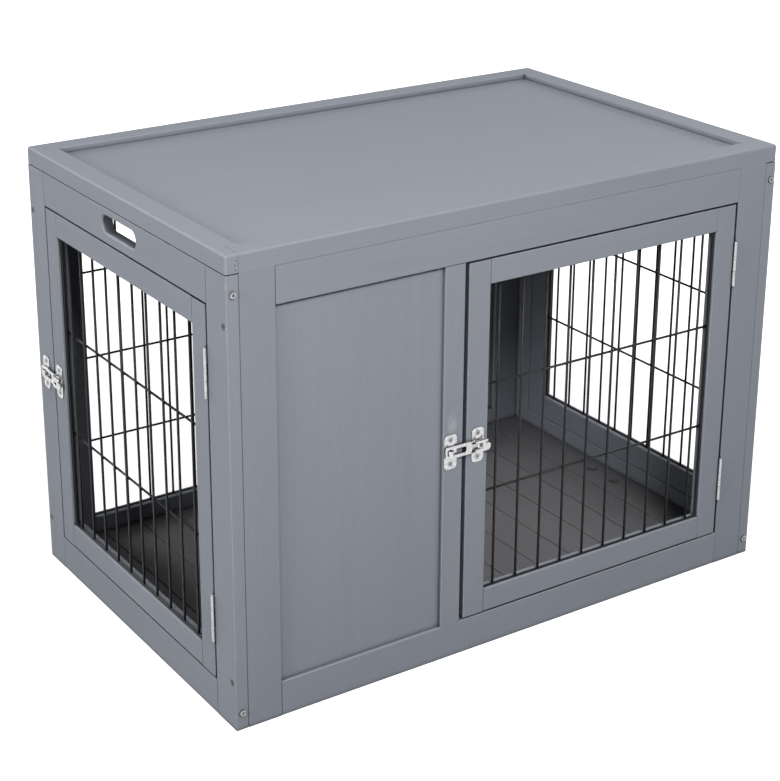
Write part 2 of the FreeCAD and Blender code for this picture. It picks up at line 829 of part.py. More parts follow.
def build_doors(nodes):
    names = ["latch_stile", "hinge_stile", "top_rail", "bottom_rail", "grille"]
    leaf = dict(zip(names, grilled_leaf(door_width, door_height, door_stock)))
    latch = {"base": latch_base(), "lever": latch_lever(), "link": latch_link(),
             "link_pin": latch_link_pin()}
    for side, place in door_places().items():
        for name, piece in leaf.items():
            nodes[side + "_door_" + name] = placed(piece, place)
        for name, piece in latch.items():
            nodes[side + "_latch_" + name] = placed(piece, place)
        leaves = [placed(piece, place) for piece in door_hinge_leaves()]
        nodes[side + "_hinge_door_leaves"] = Part.makeCompound(leaves)


def build_shared_hardware(nodes):
    groups = {"hinge_frame_leaves": frame_hinge_leaves(), "hinge_pins": hinge_pins(),
              "latch_keepers": [latch_keeper()]}
    for name, shapes in groups.items():
        both = [placed(shape, place) for place in door_places().values() for shape in shapes]
        nodes[name] = Part.makeCompound(both)
    nodes["case_bolts"] = Part.makeCompound(at_four_corners(at_bolt_heights(case_bolt())))
    nodes["case_screws"] = Part.makeCompound(at_four_corners(at_screw_heights(case_screw())))
    nodes["cap_dowels"] = Part.makeCompound(at_dowel_places(cap_dowel()))


def build():
    nodes = {}
    build_ends(nodes)
    build_faces(nodes)
    build_cap(nodes)
    build_sash(nodes)
    build_doors(nodes)
    build_shared_hardware(nodes)
    nodes["floor_board"] = floor_board()
    nodes["floor_cleats"] = Part.makeCompound(floor_cleats())
    return nodes


os.makedirs("parts", exist_ok=True)
for name, shape in build().items():
    shape.translate(Vector(-origin_x, -origin_y, 0))
    shape.exportStep("parts/" + name + ".step")
    print(name, len(shape.Solids), "solids", round(shape.Volume, 1), "mm3", shape.isValid())
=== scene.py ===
import json
import math
import bpy
import bmesh
from mathutils import Vector, Matrix


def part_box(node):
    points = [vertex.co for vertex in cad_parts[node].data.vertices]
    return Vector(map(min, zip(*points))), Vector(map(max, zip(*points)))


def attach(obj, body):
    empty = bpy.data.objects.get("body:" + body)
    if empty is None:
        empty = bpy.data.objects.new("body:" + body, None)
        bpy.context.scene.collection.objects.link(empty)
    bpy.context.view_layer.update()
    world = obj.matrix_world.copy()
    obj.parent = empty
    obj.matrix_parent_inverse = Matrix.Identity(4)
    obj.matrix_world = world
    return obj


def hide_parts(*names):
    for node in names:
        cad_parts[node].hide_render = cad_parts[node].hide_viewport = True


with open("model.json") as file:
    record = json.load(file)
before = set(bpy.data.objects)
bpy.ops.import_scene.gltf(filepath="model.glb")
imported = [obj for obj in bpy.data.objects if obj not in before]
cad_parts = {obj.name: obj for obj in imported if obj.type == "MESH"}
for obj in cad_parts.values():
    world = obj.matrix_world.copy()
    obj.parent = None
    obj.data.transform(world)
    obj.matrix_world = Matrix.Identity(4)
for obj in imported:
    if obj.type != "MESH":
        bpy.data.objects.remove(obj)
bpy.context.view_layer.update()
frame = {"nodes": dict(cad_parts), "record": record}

scene = bpy.context.scene
bodyOf = {node: body for body, nodes in frame["record"]["behaviour"]["bodies"].items() for node in nodes}
slotOf = {entry["node"]: entry["material_slot"] for entry in frame["record"]["subparts"]}
print("frame loaded:", len(frame["nodes"]), "nodes")


def newObject(name, data):
    made = bpy.data.objects.new(name, data)
    scene.collection.objects.link(made)
    return made


def addNode(tree, kind, inputs=None, **settings):
    # nodes stand in columns of five, in the order in which they are made
    column, row = divmod(len(tree.nodes), 5)
    node = tree.nodes.new(kind)
    node.location = (240 * column, -220 * row)
    for key, value in settings.items():
        setattr(node, key, value)
    for label, value in (inputs or {}).items():
        feed(tree, node.inputs[label], value)
    return node


def feed(tree, socket, value):
    # a plain value is written on the socket, and another node's socket is linked to it
    if isinstance(value, (int, float, tuple, str)):
        socket.default_value = value
    else:
        tree.links.new(value, socket)


def mathNode(tree, operation, *values):
    return addNode(tree, "ShaderNodeMath", dict(enumerate(values)), operation=operation).outputs[0]


def vectorNode(tree, x=0.0, y=0.0, z=0.0):
    return addNode(tree, "ShaderNodeCombineXYZ", {"X": x, "Y": y, "Z": z}).outputs[0]


def mixColor(tree, first, second, factor):
    return addNode(tree, "ShaderNodeMix", {6: first, 7: second, 0: factor}, data_type="RGBA").outputs[2]


def spread(tree, value, fromLow, fromHigh, toLow=0.0, toHigh=1.0):
    return addNode(tree, "ShaderNodeMapRange", {"Value": value, "From Min": fromLow, "From Max": fromHigh,
                                                "To Min": toLow, "To Max": toHigh}).outputs["Result"]


def newMaterial(name):
    material = bpy.data.materials.new(name)
    material.use_nodes = True
    return material, material.node_tree, material.node_tree.nodes["Principled BSDF"]


# the photograph's camera. The picture is a low crop of a wider view, hence the shift, which is kept
# small enough for the views from other sides
cameraLook = {
    "place": (-1.2786, -1.8659, 1.2049),
    "azimuth": 33.133,        # degrees from +Y towards +X
    "dip": 19.450,            # degrees below the horizon
    "focalPixels": 1854.6,
    "axisPixel": (361.1, 273.5),
    "picture": (780, 781),
    "sensor": 36.0,
}


def buildCamera():
    look = cameraLook
    wide, high = look["picture"]
    data = bpy.data.cameras.new("photoCamera")
    camera = newObject("photoCamera", data)
    turn = math.radians(look["azimuth"])
    dip = math.radians(look["dip"])
    ahead = Vector((math.sin(turn) * math.cos(dip), math.cos(turn) * math.cos(dip), -math.sin(dip)))
    camera.location = look["place"]
    camera.rotation_euler = ahead.to_track_quat("-Z", "Y").to_euler()
    data.sensor_fit = "HORIZONTAL"
    data.sensor_width = look["sensor"]
    data.lens = look["focalPixels"] * look["sensor"] / wide
    data.shift_x = (wide / 2 - look["axisPixel"][0]) / wide
    data.shift_y = (look["axisPixel"][1] - high / 2) / wide
    data.clip_end = 50
    scene.camera = camera


# soft studio light all round, strongest from the front and left, so that the inside of the crate stays dim
studio = {
    "surround": 0.035,
    "seenSurround": 1.0,
    "floorSeen": (0.80, 0.80, 0.80, 1.0),      # what the camera sees of the floor
    "floorBounce": (0.12, 0.12, 0.12, 1.0),    # what the floor throws back at the object
    "floorLift": (0.60, 1.05),                 # near the object, and away from it
    "liftReach": (0.6, 2.4),
    "floorShade": 0.5,
    "floorSize": 16.0,
    "lamps": [
        {"name": "frontLight", "place": (-0.60, -2.45, 2.45), "aim": (0.0, -0.2, 0.3), "size": 1.1,
         "power": 100},
        {"name": "sideLight", "place": (-2.70, -0.60, 1.25), "aim": (-0.2, 0.0, 0.3), "size": 1.1,
         "power": 42},
        {"name": "rightLight", "place": (3.20, 0.60, 1.50), "aim": (0.2, 0.0, 0.3), "size": 1.2, "power": 52},
        {"name": "backLight", "place": (-1.20, 3.20, 1.50), "aim": (0.0, 0.2, 0.3), "size": 1.2, "power": 52},
    ],
}


def seenDirectly(tree):
    # 1 for camera, mirror and glass rays, 0 for light that falls on the object
    path = addNode(tree, "ShaderNodeLightPath").outputs
    mirrored = mathNode(tree, "MAXIMUM", path["Is Camera Ray"], path["Is Glossy Ray"])
    return mathNode(tree, "MAXIMUM", mirrored, path["Is Transmission Ray"])


def buildWorld():
    world = bpy.data.worlds.new("studioWorld")
    scene.world = world
    world.use_nodes = True
    tree = world.node_tree
    tree.nodes.clear()
    soft, white = [addNode(tree, "ShaderNodeBackground",
                           {"Color": (1.0, 1.0, 1.0, 1.0), "Strength": studio[name]})
                   for name in ("surround", "seenSurround")]
    mix = addNode(tree, "ShaderNodeMixShader",
                  {0: seenDirectly(tree), 1: soft.outputs[0], 2: white.outputs[0]})
    addNode(tree, "ShaderNodeOutputWorld", {"Surface": mix.outputs[0]})


def buildLamps():
    for lamp in studio["lamps"]:
        data = bpy.data.lights.new(lamp["name"], "AREA")
        data.energy = lamp["power"]
        data.shape = "DISK"
        data.size = lamp["size"]
        obj = newObject(lamp["name"], data)
        obj.location = lamp["place"]
        aim = Vector(lamp["aim"]) - Vector(lamp["place"])
        obj.rotation_euler = aim.to_track_quat("-Z", "Y").to_euler()


def buildFloor():
    half = studio["floorSize"] / 2
    mesh = bpy.data.meshes.new("studioFloor")
    mesh.from_pydata([(-half, -half, 0), (half, -half, 0), (half, half, 0), (-half, half, 0)], [],
                     [(0, 1, 2, 3)])
    floor = newObject("studioFloor", mesh)
    material, tree, shader = newMaterial("paleFloor")
    seen = seenDirectly(tree)
    feed(tree, shader.inputs["Base Color"], mixColor(tree, studio["floorBounce"], studio["floorSeen"], seen))
    # its glow lightens to white away from the object, and a painted shadow keeps it dark under it
    coords = addNode(tree, "ShaderNodeTexCoord")
    away = addNode(tree, "ShaderNodeVectorMath", {0: coords.outputs["Object"]}, operation="LENGTH")
    white = spread(tree, away.outputs["Value"], *studio["liftReach"], *studio["floorLift"])
    uncovered = addNode(tree, "ShaderNodeAmbientOcclusion", {"Distance": studio["floorShade"]}, samples=8)
    clear = spread(tree, uncovered.outputs["AO"], 0.05, 0.45)
    lift = mathNode(tree, "MULTIPLY", seen, mathNode(tree, "MULTIPLY", white, clear))
    for label, value in {"Emission Color": (1.0, 1.0, 1.0, 1.0), "Emission Strength": lift, "Roughness": 0.95,
                         "Specular IOR Level": 0.0}.items():
        feed(tree, shader.inputs[label], value)
    mesh.materials.append(material)


buildCamera()
buildWorld()
buildLamps()
buildFloor()
scene.view_settings.view_transform = "Standard"
print("camera and studio built")


def newGroup(name, inputs, outputs):
    group = bpy.data.node_groups.new(name, "ShaderNodeTree")
    for label, kind, value in inputs:
        item = group.interface.new_socket(label, in_out="INPUT", socket_type=kind)
        if value is not None:
            item.default_value = value
    for label, kind in outputs:
        group.interface.new_socket(label, in_out="OUTPUT", socket_type=kind)
    return group, addNode(group, "NodeGroupInput").outputs, addNode(group, "NodeGroupOutput").inputs


def buildGrainGroup():
    # wood under paint: long streaks, short pores and broad clouds, drawn out along X of the incoming vector
    group, start, end = newGroup("boardGrain", [
        ("Vector", "NodeSocketVector", None), ("Seed", "NodeSocketFloat", 0.0),
        ("Streak Scale", "NodeSocketFloat", 60.0), ("Pore Scale", "NodeSocketFloat", 420.0)],
        [("Streaks", "NodeSocketFloat"), ("Pores", "NodeSocketFloat"), ("Cloud", "NodeSocketFloat")])
    layers = [
        {"label": "Streaks", "stretch": 0.045, "detail": 4.0, "rough": 0.6, "low": 0.32, "high": 0.68,
         "scale": start["Streak Scale"]},
        {"label": "Pores", "stretch": 0.07, "detail": 2.0, "rough": 0.7, "low": 0.40, "high": 0.66,
         "scale": start["Pore Scale"]},
        {"label": "Cloud", "stretch": 0.55, "detail": 3.0, "rough": 0.5, "low": 0.30, "high": 0.70,
         "scale": 7.0}]
    for layer in layers:
        drawn = addNode(group, "ShaderNodeVectorMath", {0: start["Vector"], 1: (layer["stretch"], 1.0, 1.0)},
                        operation="MULTIPLY")
        noise = addNode(group, "ShaderNodeTexNoise", noise_dimensions="4D", inputs={
            "Vector": drawn.outputs[0], "W": start["Seed"], "Scale": layer["scale"], "Detail": layer["detail"],
            "Roughness": layer["rough"], "Distortion": 0.2})
        feed(group, end[layer["label"]], spread(group, noise.outputs["Fac"], layer["low"], layer["high"]))
    return group


def buildRubAndHighlightGroup():
    # rubbed arrises and a painted highlight on them: the marked edge bands, broken up by noise
    group, start, end = newGroup("edgeRub", [
        ("Vector", "NodeSocketVector", None), ("Edge", "NodeSocketFloat", 0.0),
        ("Amount", "NodeSocketFloat", 0.4)], [("Mask", "NodeSocketFloat")])
    patch = addNode(group, "ShaderNodeTexNoise", {"Vector": start["Vector"], "Scale": 55.0, "Detail": 4.0,
                                                  "Roughness": 0.7})
    low = mathNode(group, "SUBTRACT", 0.95, start["Amount"])
    broken = spread(group, patch.outputs["Fac"], low, mathNode(group, "ADD", low, 0.12))
    feed(group, end["Mask"], mathNode(group, "MULTIPLY", broken, start["Edge"]))
    return group


def buildScuffGroup():
    # one worn or filled spot: a soft box round a place, broken up by noise
    group, start, end = newGroup("scuffSpot", [
        ("Vector", "NodeSocketVector", None), ("Centre", "NodeSocketVector", None),
        ("Reach", "NodeSocketVector", None), ("Grain Scale", "NodeSocketFloat", 420.0),
        ("Cover", "NodeSocketFloat", 0.5)], [("Mask", "NodeSocketFloat")])
    away = addNode(group, "ShaderNodeVectorMath", {0: start["Vector"], 1: start["Centre"]},
                   operation="SUBTRACT")
    share = addNode(group, "ShaderNodeVectorMath", {0: away.outputs[0], 1: start["Reach"]},
                    operation="DIVIDE")
    length = addNode(group, "ShaderNodeVectorMath", {0: share.outputs[0]}, operation="LENGTH")
    inside = spread(group, length.outputs["Value"], 1.0, 0.4)
    drawn = addNode(group, "ShaderNodeVectorMath", {0: start["Vector"], 1: (1.0, 1.0, 0.3)},
                    operation="MULTIPLY")
    noise = addNode(group, "ShaderNodeTexNoise", {"Vector": drawn.outputs[0], "Scale": start["Grain Scale"],
                                                  "Detail": 2.0, "Roughness": 0.5})
    low = mathNode(group, "SUBTRACT", 1.0, start["Cover"])
    broken = spread(group, noise.outputs["Fac"], low, mathNode(group, "ADD", low, 0.25))
    feed(group, end["Mask"], mathNode(group, "MULTIPLY", inside, broken))
    return group


grainGroup = buildGrainGroup()
rubAndHighlightGroup = buildRubAndHighlightGroup()
scuffGroup = buildScuffGroup()

# grey satin paint, the wood's grain just reading through it
paintLook = {
    "light": (0.282, 0.303, 0.346, 1.0),
    "deep": (0.246, 0.265, 0.303, 1.0),
    # lighter edge colour: partly rubbed paint, partly a painted highlight on the rounded arrises
    "rubbedAndHighlit": (0.36, 0.38, 0.415, 1.0),
    # painted shade in crevices and joints between boards, and how far it reaches
    "creviceShade": (0.045, 0.049, 0.057, 1.0),
    "creviceShadeReach": 0.007,
    "insideShade": (0.016, 0.017, 0.020, 1.0),    # painted shade, darker inside the crate
    "insideShadeReach": 0.7,
    "insideShadeLeast": 0.30,
    "roughness": (0.50, 0.66),
    "specular": 0.12,
    "poreBump": 0.00006,
    "streakBump": 0.00012,
    "rubAndHighlight": 0.38,
}
# the floor board is a duller, browner grey
floorPaintLook = dict(paintLook, light=(0.176, 0.172, 0.180, 1.0), deep=(0.134, 0.131, 0.138, 1.0),
                      creviceShade=(0.03, 0.03, 0.03, 1.0), roughness=(0.55, 0.72), specular=0.08)

# marks in the paint, in metres on the object: pale scuffs and dark nail or staple holes
scuffs = [
    {"centre": (-0.0985, -0.2534, 0.3125), "reach": (0.0085, 0.02, 0.0170), "tone": "pale", "cover": 0.72},
    {"centre": (0.3899, -0.2534, 0.4838), "reach": (0.0018, 0.02, 0.0090), "tone": "pale", "cover": 0.60},
    {"centre": (-0.3963, 0.0045, 0.0525), "reach": (0.02, 0.0420, 0.0030), "tone": "pale", "cover": 0.56},
    {"centre": (-0.3842, -0.2534, 0.5641), "reach": (0.0032, 0.006, 0.0085), "tone": "pale", "cover": 0.52},
    {"centre": (0.3130, -0.2305, 0.5700), "reach": (0.0030, 0.0022, 0.003), "tone": "chip", "cover": 0.95},
]
holes = [(-0.3833, -0.2534, 0.5693), (-0.3845, -0.2534, 0.5643), (-0.3838, -0.2534, 0.5588),
         (0.4007, -0.2534, 0.5715), (0.4010, -0.2534, 0.5585), (-0.3187, 0.2300, 0.5695),
         (0.3179, 0.2250, 0.5695)]
markLook = {"pale": (0.36, 0.385, 0.42, 1.0), "chip": (0.82, 0.80, 0.76, 1.0),
            "hole": (0.05, 0.052, 0.058, 1.0),
            "holeReach": 0.0011}


def addMarks(tree, coords, color):
    spots = [(scuff["centre"], scuff["reach"], scuff["cover"], scuff["tone"]) for scuff in scuffs]
    spots += [(place, (markLook["holeReach"],) * 3, 1.0, "hole") for place in holes]
    for centre, reach, cover, tone in spots:
        spot = addNode(tree, "ShaderNodeGroup", node_tree=scuffGroup)
        for label, value in {"Vector": coords, "Centre": centre, "Reach": reach, "Cover": cover}.items():
            feed(tree, spot.inputs[label], value)
        color = mixColor(tree, color, markLook[tone], spot.outputs["Mask"])
    return color


def occlusion(tree, reach, samples):
    return addNode(tree, "ShaderNodeAmbientOcclusion", {"Distance": reach}, samples=samples).outputs["AO"]


def bumped(tree, height, distance, normal=None):
    bump = addNode(tree, "ShaderNodeBump", {"Strength": 1.0, "Distance": distance, "Height": height})
    if normal:
        feed(tree, bump.inputs["Normal"], normal)
    return bump.outputs["Normal"]


def buildPaint(name, grainAxis, look, marked):
    material, tree, shader = newMaterial(name)
    coords = addNode(tree, "ShaderNodeTexCoord").outputs["Object"]
    quarter = math.radians(90)
    rotation = {"X": (0.0, 0.0, 0.0), "Y": (0.0, 0.0, quarter), "Z": (0.0, quarter, 0.0)}[grainAxis]
    along = addNode(tree, "ShaderNodeMapping", {"Vector": coords, "Rotation": rotation})
    seed, edge = [addNode(tree, "ShaderNodeAttribute", attribute_name=label).outputs["Fac"]
                  for label in ("boardSeed", "edgeBand")]
    grain = addNode(tree, "ShaderNodeGroup", node_tree=grainGroup)
    rubAndHighlight = addNode(tree, "ShaderNodeGroup", node_tree=rubAndHighlightGroup)
    for node, label, value in ((grain, "Vector", along.outputs[0]), (grain, "Seed", seed),
                               (rubAndHighlight, "Vector", coords),
                               (rubAndHighlight, "Edge", edge), (rubAndHighlight, "Amount", look["rubAndHighlight"])):
        feed(tree, node.inputs[label], value)
    streaks, pores, cloud = [grain.outputs[label] for label in ("Streaks", "Pores", "Cloud")]
    # each board took the paint a little differently
    own = addNode(tree, "ShaderNodeTexWhiteNoise", noise_dimensions="1D")
    feed(tree, own.inputs["W"], seed)
    ownTone = mathNode(tree, "MULTIPLY", own.outputs["Value"], 0.25)
    tone = mathNode(tree, "MULTIPLY_ADD", streaks, 0.30, mathNode(tree, "MULTIPLY_ADD", cloud, 0.45, ownTone))
    painted = mixColor(tree, look["deep"], look["light"], tone)
    pored = mixColor(tree, painted, look["deep"], mathNode(tree, "MULTIPLY", pores, 0.35))
    # the edge bands are lightened: rubbed paint and a painted highlight where the rounded edges would catch the light
    wornAndHighlit = mixColor(tree, pored, look["rubbedAndHighlit"], rubAndHighlight.outputs["Mask"])
    if marked:
        wornAndHighlit = addMarks(tree, coords, wornAndHighlit)
    # painted shade: the colour darkens in crevices and joints between boards
    hollow = spread(tree, occlusion(tree, look["creviceShadeReach"], 4), 0.25, 0.88)
    creviceShaded = mixColor(tree, look["creviceShade"], wornAndHighlit, hollow)
    # painted shade: the colour of the whole inside of the crate is darkened
    shaded = spread(tree, occlusion(tree, look["insideShadeReach"], 6), 0.10, 0.50, look["insideShadeLeast"], 1.0)
    fine = bumped(tree, pores, look["poreBump"])
    for label, value in {"Base Color": mixColor(tree, look["insideShade"], creviceShaded, shaded),
                         "Roughness": spread(tree, cloud, 0.0, 1.0, *look["roughness"]),
                         "Normal": bumped(tree, streaks, look["streakBump"], fine),
                         "Specular IOR Level": look["specular"]}.items():
        feed(tree, shader.inputs[label], value)
    return material


paints = {axis: buildPaint("greyPaint" + axis, axis, paintLook, True) for axis in "XYZ"}
paints["floor"] = buildPaint("floorPaint", "Y", floorPaintLook, False)

# plated and coated metal, and the dowels' bare beech
plateLook = {"metallic": 1.0, "specular": 0.5, "bump": 0.00003, "patchScale": 300.0, "fineScale": 1500.0}
metalLooks = {
    "nickelPlate": dict(plateLook, bright=(0.52, 0.52, 0.525, 1), dull=(0.37, 0.37, 0.375, 1),
                        creviceShade=(0.05, 0.05, 0.05, 1), roughness=(0.22,
                                                                  0.42), patchScale=260.0, fineScale=1400.0),
    "screwSteel": dict(plateLook, bright=(0.34, 0.34, 0.345, 1), dull=(0.22, 0.22, 0.225, 1),
                       creviceShade=(0.02, 0.02, 0.02, 1), roughness=(0.28,
                                                                 0.48), patchScale=400.0, fineScale=1600.0),
    "zincPlate": dict(plateLook, bright=(0.46, 0.47, 0.48, 1), dull=(0.30, 0.305, 0.315, 1),
                      creviceShade=(0.03, 0.03, 0.03, 1), roughness=(0.28, 0.5)),
    "darkOxide": dict(plateLook, bright=(0.13, 0.13, 0.14, 1), dull=(0.05, 0.05, 0.06, 1),
                      creviceShade=(0.01, 0.01, 0.01, 1), roughness=(0.4, 0.65), metallic=0.8),
    "blackPowder": dict(plateLook, bright=(0.011, 0.011, 0.013, 1), dull=(0.006, 0.006, 0.007, 1),
                        creviceShade=(0.003, 0.003, 0.003, 1), roughness=(0.38, 0.55), metallic=0.0, specular=0.22,
                        patchScale=90.0, fineScale=900.0, bump=0.00004),
    "bareBeech": dict(plateLook, bright=(0.62, 0.47, 0.32, 1), dull=(0.50, 0.36, 0.23, 1),
                      creviceShade=(0.2, 0.14, 0.09, 1), roughness=(0.6, 0.75), metallic=0.0, specular=0.3,
                      patchScale=200.0, fineScale=900.0, bump=0.00005),
}
# how far the painted shade in the hollows of metal and beech reaches
metalCreviceShadeReach = 0.0016


def buildMetal(name, look):
    material, tree, shader = newMaterial(name)
    coords = addNode(tree, "ShaderNodeTexCoord").outputs["Object"]
    patch, fine = [addNode(tree, "ShaderNodeTexNoise",
                           {"Vector": coords, "Scale": look[scale], "Detail": detail,
                                                        "Roughness": rough}).outputs["Fac"]
                   for scale, detail, rough in (("patchScale", 4.0, 0.65), ("fineScale", 2.0, 0.6))]
    clean = spread(tree, patch, 0.35, 0.65)
    plated = mixColor(tree, look["dull"], look["bright"], clean)
    # painted shade: the colour darkens in hollows and creases
    hollow = spread(tree, occlusion(tree, metalCreviceShadeReach, 4), 0.30, 0.85)
    for label, value in {"Base Color": mixColor(tree, look["creviceShade"], plated, hollow),
                         "Roughness": spread(tree, clean, 0.0, 1.0, look["roughness"][1],
                                             look["roughness"][0]),
                         "Normal": bumped(tree, fine, look["bump"]), "Metallic": look["metallic"],
                         "Specular IOR Level": look["specular"]}.items():
        feed(tree, shader.inputs[label], value)
    return material


metals = {name: buildMetal(name, look) for name, look in metalLooks.items()}
print("materials ready")


def plainMesh(piece):
    # modifiers are worked into the mesh and removed
    bpy.context.view_layer.update()
    graph = bpy.context.evaluated_depsgraph_get()
    made = bpy.data.meshes.new_from_object(piece.evaluated_get(graph), preserve_all_data_layers=True,
                                           depsgraph=graph)
    piece.modifiers.clear()
    piece.data = made
    made.name = piece.name


def dress(piece, body, nodes):
    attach(piece, body)
    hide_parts(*nodes)


# boards keep the form of their CAD solids, with the arrises rounded by a pass of sandpaper
boardLook = {"radius": 0.0005, "segments": 2, "sharpAngle": 28}


def softenedCopy(nodeName, radius, segments, sharpAngle):
    bm = bmesh.new()
    bm.from_mesh(frame["nodes"][nodeName].data)
    bmesh.ops.remove_doubles(bm, verts=bm.verts, dist=2e-6)
    bmesh.ops.dissolve_limit(bm, angle_limit=math.radians(0.6), verts=bm.verts, edges=bm.edges)
    band = bm.faces.layers.float.new("edgeBand")
    sharp = [edge for edge in bm.edges
             if edge.is_manifold and edge.calc_face_angle(0) > math.radians(sharpAngle)]
    made = bmesh.ops.bevel(bm, geom=sharp, offset=radius, offset_type="OFFSET", segments=segments,
                           profile=0.5, affect="EDGES", clamp_overlap=True)
    for face in bm.faces:
        face.smooth = True
    for face in made["faces"]:
        face[band] = 1.0
    return bm


def paintOf(nodeName):
    if nodeName == "floor_board":
        return paints["floor"]
    if nodeName in ("front_panel", "back_panel"):
        return paints["Z"]
    low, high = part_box(nodeName)
    size = high - low
    return paints["XYZ"[max(range(3), key=lambda axis: size[axis])]]


def dressBoards():
    wooden = sorted(node for node, slot in slotOf.items() if slot == "painted_wood")
    for index, node in enumerate(wooden):
        bm = softenedCopy(node, boardLook["radius"], boardLook["segments"], boardLook["sharpAngle"])
        mesh = bpy.data.meshes.new("painted_" + node)
        bm.to_mesh(mesh)
        bm.free()
        seeds = mesh.attributes.new("boardSeed", "FLOAT", "FACE")
        seeds.data.foreach_set("value", [index * 3.7] * len(mesh.polygons))
        mesh.materials.append(paintOf(node))
        piece = newObject("painted_" + node, mesh)
        even = piece.modifiers.new("evenShading", "WEIGHTED_NORMAL")
        even.keep_sharp = True
        plainMesh(piece)
        dress(piece, bodyOf[node], [node])
    print("boards dressed:", len(wooden))


dressBoards()
for node in [name for name, slot in slotOf.items() if slot == "bare_wood"]:
    frame["nodes"][node].data.materials.clear()
    frame["nodes"][node].data.materials.append(metals["bareBeech"])


def geometryTree(name, inputs):
    tree = bpy.data.node_groups.new(name, "GeometryNodeTree")
    tree.interface.new_socket("Geometry", in_out="INPUT", socket_type="NodeSocketGeometry")
    for label, kind, value in inputs:
        item = tree.interface.new_socket(label, in_out="INPUT", socket_type=kind)
        if value is not None:
            item.default_value = value
    tree.interface.new_socket("Geometry", in_out="OUTPUT", socket_type="NodeSocketGeometry")
    return tree, addNode(tree, "NodeGroupInput").outputs, addNode(tree, "NodeGroupOutput").inputs["Geometry"]


def geometryNode(tree, kind, inputs=None, **settings):
    # the first output is the one that every geometry node here is used for
    return addNode(tree, "GeometryNode" + kind, inputs, **settings).outputs[0]



def grow(piece, tree, values):
    # the tree is run on the piece with these inputs, and leaves a plain mesh
    modifier = piece.modifiers.new("maker", "NODES")
    modifier.node_group = tree
    sockets = {item.name: item.identifier for item in tree.interface.items_tree
               if item.item_type == "SOCKET" and item.in_out == "INPUT"}
    for label, value in values.items():
        modifier[sockets[label]] = value
    plainMesh(piece)


# welded wire: a bent frame wire, upright bars and cross wires behind them
grilleLook = {
    "frameRadius": 0.0020, "barRadius": 0.0016, "crossRadius": 0.0015,
    "frameDepth": 0.0060, "crossDepth": 0.0091, "outset": 0.0004, "bend": 0.004,
    "pitch": 0.0354, "weldRadius": 0.0021, "sides": 20,
}
grilleMeasures = {"Bar Radius": "barRadius", "Cross Radius": "crossRadius", "Frame Radius": "frameRadius",
                  "Frame Depth": "frameDepth", "Cross Depth": "crossDepth", "Outset": "outset", "Bend": "bend",
                  "Weld Radius": "weldRadius"}
# how each grille stands: its turn about Z in degrees, and its cross wires
grilles = {
    "front_door_grille": {"turn": 0, "crossCount": 2, "crossSpacing": 0.1395},
    "end_door_grille": {"turn": -90, "crossCount": 2, "crossSpacing": 0.1395},
    "right_grille": {"turn": 90, "crossCount": 2, "crossSpacing": 0.1395},
    "back_grille": {"turn": 180, "crossCount": 3, "crossSpacing": 0.120},
}


